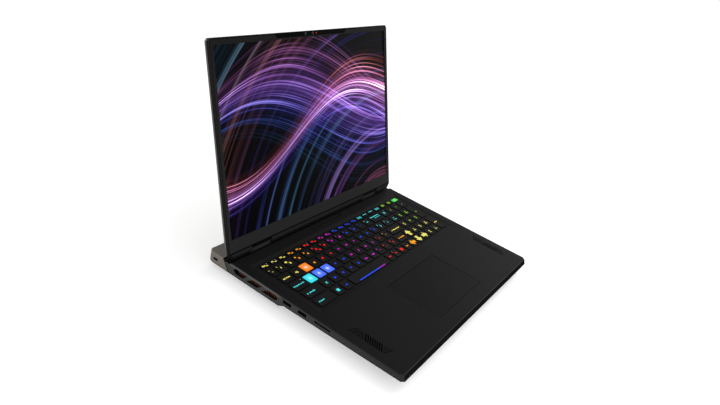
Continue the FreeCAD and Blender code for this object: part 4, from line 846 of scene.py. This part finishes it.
def round_outline(low, high, radius, steps):
    """Points round a rectangle with rounded corners."""
    points = []
    middles = ((high[0] - radius, high[1] - radius), (low[0] + radius, high[1] - radius),
               (low[0] + radius, low[1] + radius), (high[0] - radius, low[1] + radius))
    for quarter, (x, y) in enumerate(middles):
        for step in range(steps + 1):
            angle = math.radians(90.0 * (quarter + step / steps))
            points.append((x + radius * math.cos(angle), y + radius * math.sin(angle)))
    return points


def add_cap(shape, low, high):
    """One key cap: drafted sides, a rounded shoulder and a shallow dish."""
    levels = [(0.0, KEY_TOP - CAP_HEIGHT), (CAP_DRAFT, KEY_TOP - CAP_ROUND)]
    for step in range(1, CAP_STEPS + 1):
        angle = math.radians(90.0 * step / CAP_STEPS)
        inset = CAP_DRAFT + CAP_ROUND * (1.0 - math.cos(angle))
        levels.append((inset, KEY_TOP - CAP_ROUND * (1.0 - math.sin(angle))))
    levels.append((CAP_DRAFT + CAP_ROUND + DISH_RIM, KEY_TOP - DISH_DEPTH))
    loops = []
    for inset, height in levels:
        radius = max(CAP_CORNER - inset, CORNER_LEAST)
        outline = round_outline((low.x + inset, low.y + inset), (high.x - inset, high.y - inset),
                                radius, CAP_STEPS)
        loops.append([(x, y, height) for x, y in outline])
    loft(shape, loops)


def add_prism(shape, outline, low, high, index=0):
    loft(shape, [[(x, y, z) for x, y in outline] for z in (low, high)], index)


def add_block(shape, low, high):
    """A straight bar between two corners."""
    outline = [(high[0], high[1]), (low[0], high[1]), (low[0], low[1]), (high[0], low[1])]
    add_prism(shape, outline, low[2], high[2])


def text_mesh(text, size):
    """The outlines of a short text as a thin solid."""
    curve = bpy.data.curves.new("legend", "FONT")
    curve.body = text
    curve.size = size
    curve.offset = BOLD * size
    curve.resolution_u = 3
    curve.extrude = LEGEND_RISE / 2
    holder = bpy.data.objects.new("legend", curve)
    bpy.context.scene.collection.objects.link(holder)
    bpy.context.view_layer.update()
    mesh = bpy.data.meshes.new_from_object(holder.evaluated_get(bpy.context.evaluated_depsgraph_get()))
    bpy.data.objects.remove(holder)
    bpy.data.curves.remove(curve)
    return mesh


def add_text(shape, text, size, x, y, index, width=None, left=False):
    """Print a text on the key tops, with its middle or left end at a point, and of a given width if any."""
    mesh = text_mesh(text, size)
    low, high = corners([vertex.co for vertex in mesh.vertices])
    share = width / (high.x - low.x) if width else STRETCH
    middle = (low + high) / 2
    start = low.x if left else middle.x
    z = KEY_TOP - DISH_DEPTH + LEGEND_RISE / 2
    sized = Matrix.Diagonal((share, 1.0, 1.0, 1.0))
    mesh.transform(Matrix.Translation((x, y, z)) @ sized @ Matrix.Translation((-start, -middle.y, 0.0)))
    known = len(shape.faces)
    shape.from_mesh(mesh)
    shape.faces.ensure_lookup_table()
    for face in shape.faces[known:]:
        face.material_index = index
    bpy.data.meshes.remove(mesh)


def add_mark(shape, outline, x, y, index):
    """Print a plain outline on the key tops."""
    low = KEY_TOP - DISH_DEPTH
    add_prism(shape, [(x + a, y + b) for a, b in outline], low, low + LEGEND_RISE, index)


def spoke(radius, turn):
    return (radius * math.cos(turn), radius * math.sin(turn))


def disc(radius, steps=16):
    return [spoke(radius, math.tau * step / steps) for step in range(steps)]


def open_ring(radius, width, gap, steps=24):
    """A ring that is open at the top."""
    turns = [math.radians(90.0 + gap / 2 + (360.0 - gap) * step / steps) for step in range(steps + 1)]
    outside = [spoke(radius + width / 2, turn) for turn in turns]
    inside = [spoke(radius - width / 2, turn) for turn in turns]
    return outside + inside[::-1]


def arrow(turn, half):
    """A broad arrow, turned from pointing right."""
    stem = half * STEM_SHARE
    points = [(-half, -stem), (0.0, -stem), (0.0, -half), (half, 0.0),
              (0.0, half), (0.0, stem), (-half, stem)]
    cosine = math.cos(math.radians(turn))
    sine = math.sin(math.radians(turn))
    return [(x * cosine - y * sine, x * sine + y * cosine) for x, y in points]


def symbol(kind, half):
    """Outlines of the small signs beside the words."""
    if kind in ARROW_TURNS:
        return [arrow(ARROW_TURNS[kind], half)]
    thin = SIGN_LINE * half
    if kind == "tab":
        bar = [(half + thin, -half), (half + 3 * thin, -half), (half + 3 * thin, half), (half + thin, half)]
        return [arrow(0.0, half), bar]
    low = TURN_LOW * half
    inner = half - 2 * thin
    return [[(-half, low), (0.0, -half), (0.0, low - thin), (half, low - thin), (half, half),
             (inner, half), (inner, low + thin), (0.0, low + thin), (0.0, half + 2 * low)]]


def add_wide_word(shape, word, low, high, index):
    """A word at the left of a wide key, after its sign if it has one."""
    margin, length = WORD_SPANS[word]
    x = low.x + margin
    y = (low.y + high.y) / 2
    if word in SYMBOLS:
        for outline in symbol(SYMBOLS[word], SYMBOL_HALF):
            add_mark(shape, outline, x + SYMBOL_HALF, y, index)
        x += SYMBOL_ROOM
        length -= SYMBOL_ROOM
    add_text(shape, word, WORD_SIZE, x, y, index, length, True)


def add_backspace(shape, low, high, index):
    """The word on the backspace key, and a long arrow under its end."""
    margin, length = WORD_SPANS["Backspace"]
    y = (low.y + high.y) / 2
    add_text(shape, "Backspace", WORD_SIZE, low.x + margin, y + BACKSPACE_RISES[0], index, length, True)
    reach, head, stem = LONG_ARROW
    outline = [(-reach, 0.0), (-reach + 2 * head, -head), (-reach + 2 * head, -stem), (0.0, -stem),
               (0.0, stem), (-reach + 2 * head, stem), (-reach + 2 * head, head)]
    add_mark(shape, outline, low.x + margin + length, y + BACKSPACE_RISES[1], index)


def add_function_label(shape, word, low, high, index):
    """The label of a function key, with a plain mark at its lower right."""
    x, y, _ = (low + high) / 2
    add_text(shape, word, LABEL_SIZE, x + LABEL_SHIFT[0], y + LABEL_SHIFT[1], index)
    outline = round_outline((-MARK_HALF[0], -MARK_HALF[1]), MARK_HALF, MARK_CORNER, MARK_STEPS)
    add_mark(shape, outline, x + MARK_SHIFT[0], y + MARK_SHIFT[1], index)


def add_pad_legend(shape, word, low, high, index):
    """A number-pad digit over its second use."""
    x, y, _ = (low + high) / 2
    add_text(shape, word, PAD_SIZE, x, y + PAD_RISE, index)
    second = PAD_WORDS[word]
    if second in ARROW_TURNS:
        add_mark(shape, arrow(ARROW_TURNS[second], SYMBOL_HALF), x, y - PAD_DROP, index)
    else:
        add_text(shape, second, SMALL_SIZE, x, y - PAD_DROP, index)


def add_power_sign(shape, x, y, index):
    add_mark(shape, open_ring(RING_RADIUS, RING_WIDTH, RING_GAP), x, y, index)
    half = RING_WIDTH / 2
    add_mark(shape, [(-half, 0.0), (half, 0.0), (half, RING_RADIUS + half), (-half, RING_RADIUS + half)],
             x, y, index)


def add_legend(shape, node, word, low, high, index):
    """The print of one key."""
    x, y, _ = (low + high) / 2
    width = high.x - low.x
    if word in ARROW_TURNS:
        add_mark(shape, arrow(ARROW_TURNS[word], ARROW_HALF), x, y, index)
    elif word == "square":
        side = SQUARE_HALF
        add_mark(shape, round_outline((-side, -side), (side, side), SQUARE_CORNER, MARK_STEPS), x, y, index)
    elif word == "bar":
        left, right = [low.x + share * width for share in BAR_SPAN]
        outline = round_outline((left, 0.0), (right, BAR_WIDTH), BAR_CORNER, MARK_STEPS)
        add_mark(shape, outline, 0.0, low.y + BAR_PLACE, index)
    elif word == "power":
        add_power_sign(shape, x, y, index)
    elif word in LINES:
        line_width, lines = LINES[word]
        for line, rise in zip(lines, LINE_RISES):
            add_text(shape, line, SMALL_SIZE, x, y + rise, index, line_width)
    elif node == "keys_function_row":
        add_function_label(shape, word, low, high, index)
    elif node == "keys_number_pad" and word in PAD_WORDS:
        add_pad_legend(shape, word, low, high, index)
    elif word in SHIFTED and node != "keys_number_pad":
        add_text(shape, word, DIGIT_SIZE, x, y, index)
        sign_x = max(x + SIGN_SHIFT[0], low.x + SIGN_MARGIN)
        add_text(shape, SHIFTED[word], SIGN_SIZE, sign_x, y + SIGN_SHIFT[1], index)
        if word in THIRD_SIGNS:
            add_text(shape, THIRD_SIGNS[word], SIGN_SIZE, x + THIRD_SHIFT[0], y + THIRD_SHIFT[1], index)
    elif len(word) == 1:
        add_text(shape, word, LETTER_SIZE, x, y, index)
    elif word == "Backspace":
        add_backspace(shape, low, high, index)
    elif word in WORD_SPANS and width > sum(WORD_SPANS[word]):
        add_wide_word(shape, word, low, high, index)
    else:
        add_text(shape, word, WORD_SIZE, x, y, index)


def key_colours(runs):
    """The colour of each key, from colours that are each followed by their number of keys."""
    parts = runs.split()
    colours = []
    for name, count in zip(parts[::2], parts[1::2]):
        colours += [name] * int(count)
    return colours


def make_keys(materials, lights, light_bar):
    """Caps that stand for the CAD keys, and their lit print."""
    for node, (words, runs) in LEGENDS.items():
        caps = bmesh.new()
        print_shape = bmesh.new()
        colours = key_colours(runs)
        used = sorted(set(colours))
        for place, ((low, high), word, colour) in enumerate(zip(solids(node), words.split(), colours)):
            add_cap(caps, low, high)
            add_legend(print_shape, node, word, low, high, used.index(colour))
            if place in DOTTED.get(node, ()):
                corner = (high.x + DOT_SHIFT[0], high.y + DOT_SHIFT[1])
                add_mark(print_shape, disc(DOT_RADIUS), *corner, len(used))
        tones = [light_bar] if node == "key_space" else [lights[name] for name in used]
        if node in DOTTED:
            tones.append(lights["white"])
        skin = materials.get(node, materials["key_black"])
        made = add_piece("caps_" + node, caps, [skin], node, 50.0)
        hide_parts(node)
        add_piece("print_" + node, print_shape, tones, node)


def make_feet(materials):
    """Rubber feet with ribs across their soles."""
    for node in ("front_feet", "rear_foot"):
        shape = bmesh.new()
        for low, high in solids(node):
            radius = (high.y - low.y) / 2 - FOOT_SIDE / 2
            sole = low.z + FOOT_GROOVE
            add_prism(shape, round_outline((low.x, low.y), (high.x, high.y), radius, 6), sole, high.z)
            room = high.x - low.x - 2 * radius
            count = int(room / FOOT_PITCH)
            start = (low.x + high.x) / 2 - (count - 1) * FOOT_PITCH / 2
            for number in range(count):
                x = start + number * FOOT_PITCH
                add_block(shape, (x - FOOT_RIB / 2, low.y + FOOT_SIDE, low.z),
                          (x + FOOT_RIB / 2, high.y - FOOT_SIDE, sole))
        made = add_piece("ribbed_" + node, shape, [materials["foot_rubber"]], "base")
        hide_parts(node)


def cross_outline(reach, arm):
    """Points of a cross, as many as the head of a screw has, each on the ray of the head's own point."""
    points = []
    for step in range(SCREW_STEPS):
        turn = math.tau * step / SCREW_STEPS
        beside, along = sorted((abs(math.cos(turn)), abs(math.sin(turn))))
        radius = min(reach / along, max(arm / max(beside, SMALLEST), arm / along))
        points.append(spoke(radius, turn))
    return points


def make_screws(materials):
    """Screws of the bottom cover, with cross recesses in their heads."""
    shape = bmesh.new()
    for low, high in solids("bottom_screws"):
        middle = (low + high) / 2
        head = (high.x - low.x) / 2
        recess = cross_outline(CROSS_REACH * head, CROSS_ARM * head)
        shank = disc(SCREW_SHANK * head, SCREW_STEPS)
        side = disc(head, SCREW_STEPS)
        levels = [(shank, high.z), (shank, low.z + SCREW_HEAD), (side, low.z + SCREW_HEAD),
                  (side, low.z + SCREW_BEVEL), (disc(head - SCREW_BEVEL, SCREW_STEPS), low.z),
                  (recess, low.z), (recess, low.z + CROSS_DEPTH)]
        loft(shape, [[(middle.x + x, middle.y + y, z) for x, y in loop] for loop, z in levels])
    made = add_piece("cross_screws", shape, [materials["screw_steel"]], "base")
    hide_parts("bottom_screws")


def add_net(shape, low, high, z):
    """Crossed wires over a rectangle."""
    half = NET_WIRE / 2
    for number in range(int((high[1] - low[1]) / NET_PITCH) + 1):
        y = low[1] + number * NET_PITCH
        add_block(shape, (low[0], y - half, z), (high[0], y + half, z + NET_WIRE))
    for number in range(int((high[0] - low[0]) / NET_PITCH) + 1):
        x = low[0] + number * NET_PITCH
        add_block(shape, (x - half, low[1], z + NET_WEAVE), (x + half, high[1], z + NET_WEAVE + NET_WIRE))


def make_nets(materials):
    """Dust nets in the intakes underneath and over the speakers."""
    shape = bmesh.new()
    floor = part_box("bottom_cover")[0].z
    for node in ("fan_housing_right", "fan_housing_left"):
        low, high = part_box(node)
        x, y, _ = (low + high) / 2
        near = (x - NET_HALF[0], y - NET_HALF[1])
        add_net(shape, near, (x + NET_HALF[0], y + NET_HALF[1]), floor + NET_RISE)
    add_piece("intake_nets", shape, [materials["net_black"]], "base")
    shape = bmesh.new()
    for node in ("speaker_right", "speaker_left"):
        low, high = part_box(node)
        add_net(shape, (low.x, low.y), (high.x, high.y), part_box("keyboard_tray")[1].z - NET_DROP)
    add_piece("speaker_nets", shape, [materials["net_black"]], "base")


def lid_point(x, up, out):
    """A point on the lid: up from the hinge along it, and out through its back."""
    return (x, HINGE_PLACE.y + up * math.sin(LEAN) + out * math.cos(LEAN),
            HINGE_PLACE.z + up * math.cos(LEAN) - out * math.sin(LEAN))


def lid_place(point):
    """Where a point is on the lid: up from the hinge along it, and out through its back."""
    y = point[1] - HINGE_PLACE.y
    z = point[2] - HINGE_PLACE.z
    return y * math.sin(LEAN) + z * math.cos(LEAN), y * math.cos(LEAN) - z * math.sin(LEAN)


def make_lenses(materials):
    """Domed glass in a thin ring over each camera lens."""
    front = min(lid_place(vertex.co)[1] for vertex in frame["nodes"]["camera_lenses"].data.vertices)
    shape = bmesh.new()
    for low, high in solids("camera_lenses"):
        middle = (low + high) / 2
        up = lid_place(middle)[0]
        radius = (high.x - low.x) / 2
        outer = radius + LENS_RING
        inner = radius - LENS_RING
        profile = [(outer, 0.0), (outer, LENS_RING / 2), (inner, LENS_RING / 2)]
        for step in range(LENS_STEPS):
            angle = math.radians(90.0 * step / LENS_STEPS)
            profile.append((inner * math.cos(angle), LENS_BULGE * math.sin(angle)))
        loops = []
        for reach, rise in profile:
            loops.append([lid_point(middle.x + x, up + y, front - rise) for x, y in disc(reach, LENS_ROUND)])
        loft(shape, loops)
    add_piece("camera_glass", shape, [materials["lens_glass"]], "lid")


def make_contacts(materials):
    """Gold contacts under the tongues of the side ports."""
    shape = bmesh.new()
    for low, high in solids("usb_ports"):
        middle = (low + high) / 2
        x = low.x + CONTACT_SETBACK
        z = middle.z - CONTACT_DROP
        for number in range(CONTACT_COUNT):
            y = middle.y + (number - (CONTACT_COUNT - 1) / 2) * CONTACT_PITCH
            add_block(shape, (x, y - CONTACT_WIDTH / 2, z - CONTACT_RISE),
                      (x + CONTACT_LENGTH, y + CONTACT_WIDTH / 2, z))
    add_piece("port_contacts", shape, [materials["contact_gold"]], "base")


def make_lock(materials):
    """A dark cup behind the lock slot in the exhaust block's side."""
    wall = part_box("rear_block")[0].x + LOCK_WALL
    y = HINGE_PLACE.y + LOCK_PLACE[0]
    z = DECK - LOCK_PLACE[1]
    shape = bmesh.new()
    outside = (LOCK_CUP[1], LOCK_CUP[2])
    inside = (LOCK_CUP[1] - LOCK_CUP_WALL, LOCK_CUP[2] - LOCK_CUP_WALL)
    loops = []
    for half, x in ((outside, wall + LOCK_CUP[0]), (outside, wall), (inside, wall),
                    (inside, wall + LOCK_CUP[0] - LOCK_CUP_WALL)):
        outline = round_outline((-half[0], -half[1]), half, LOCK_CUP_WALL, 4)
        loops.append([(x, y + a, z + b) for a, b in outline])
    loft(shape, loops)
    add_piece("lock_cup", shape, [materials["net_black"]], "base")


def seen_rays(tree):
    """One for rays from the camera, in gloss and through glass, and nothing for the rest."""
    path = tree.nodes.new("ShaderNodeLightPath").outputs
    seen = path["Is Camera Ray"]
    for name in ("Is Glossy Ray", "Is Transmission Ray"):
        either = tree.nodes.new("ShaderNodeMath")
        either.operation = "MAXIMUM"
        tree.links.new(seen, either.inputs[0])
        tree.links.new(path[name], either.inputs[1])
        seen = either.outputs[0]
    return seen


def make_stage():
    """A white floor that keeps the object's shadow."""
    shader = Shader("floor_white")
    light = shader.times(seen_rays(shader.tree), FLOOR_WHITE)
    shader.lit(FLOOR_COLOUR, WHITE, light, roughness=1.0, specular=0.0)
    mesh = bpy.data.meshes.new("floor")
    half = FLOOR_HALF
    mesh.from_pydata([(-half, -half, 0.0), (half, -half, 0.0), (half, half, 0.0), (-half, half, 0.0)],
                     [], [(0, 1, 2, 3)])
    mesh.materials.append(shader.material)
    floor = bpy.data.objects.new("floor", mesh)
    bpy.context.scene.collection.objects.link(floor)


def aim_lamp(lamp, place, aim):
    holder = bpy.data.objects.new(lamp.name, lamp)
    holder.location = place
    holder.rotation_euler = (Vector(aim) - Vector(place)).to_track_quat("-Z", "Y").to_euler()
    bpy.context.scene.collection.objects.link(holder)


def make_lamps():
    sun = bpy.data.lights.new("broad", "SUN")
    sun.energy = SUN_STRENGTH
    sun.angle = math.radians(SUN_ANGLE)
    aim_lamp(sun, SUN_PLACE, (0.0, 0.0, 0.0))
    for name, place, aim, width, height, power in LAMPS:
        lamp = bpy.data.lights.new(name, "AREA")
        lamp.shape = "RECTANGLE"
        lamp.size = width
        lamp.size_y = height
        lamp.energy = power
        aim_lamp(lamp, place, aim)


def make_world():
    """Even soft light, seen as white by the camera and in gloss."""
    world = bpy.data.worlds.new("studio")
    world.use_nodes = True
    tree = world.node_tree
    plain = tree.nodes["Background"]
    plain.inputs["Color"].default_value = WHITE
    plain.inputs["Strength"].default_value = AMBIENT
    white = tree.nodes.new("ShaderNodeBackground")
    white.inputs["Color"].default_value = WHITE
    choice = tree.nodes.new("ShaderNodeMixShader")
    for socket, source in zip(choice.inputs, (seen_rays(tree), plain.outputs[0], white.outputs[0])):
        tree.links.new(source, socket)
    tree.links.new(choice.outputs[0], tree.nodes["World Output"].inputs["Surface"])
    bpy.context.scene.world = world


def make_camera():
    forward = Vector(FORWARD).normalized()
    right = forward.cross(Vector(UPWARD)).normalized()
    up = right.cross(forward)
    camera = bpy.data.cameras.new("camera")
    camera.lens = LENS
    camera.sensor_width = SENSOR
    camera.clip_start = CLIP_START
    holder = bpy.data.objects.new("camera", camera)
    turned = Matrix((right, up, -forward)).transposed().to_4x4()
    holder.matrix_world = Matrix.Translation(EYE) @ turned
    bpy.context.scene.collection.objects.link(holder)
    bpy.context.scene.camera = holder


def main():
    bpy.context.scene.view_settings.view_transform = "Standard"
    make_camera()
    make_world()
    make_stage()
    make_lamps()
    materials = make_materials()
    lights = {}
    for name, (colour, strength) in LIGHT_COLOURS.items():
        lights[name] = glow("light_" + name, srgb(*colour), strength)
    dress_nodes(materials)
    make_keys(materials, lights, make_light_bar())
    make_feet(materials)
    make_screws(materials)
    make_nets(materials)
    make_lenses(materials)
    make_contacts(materials)
    make_lock(materials)


main()
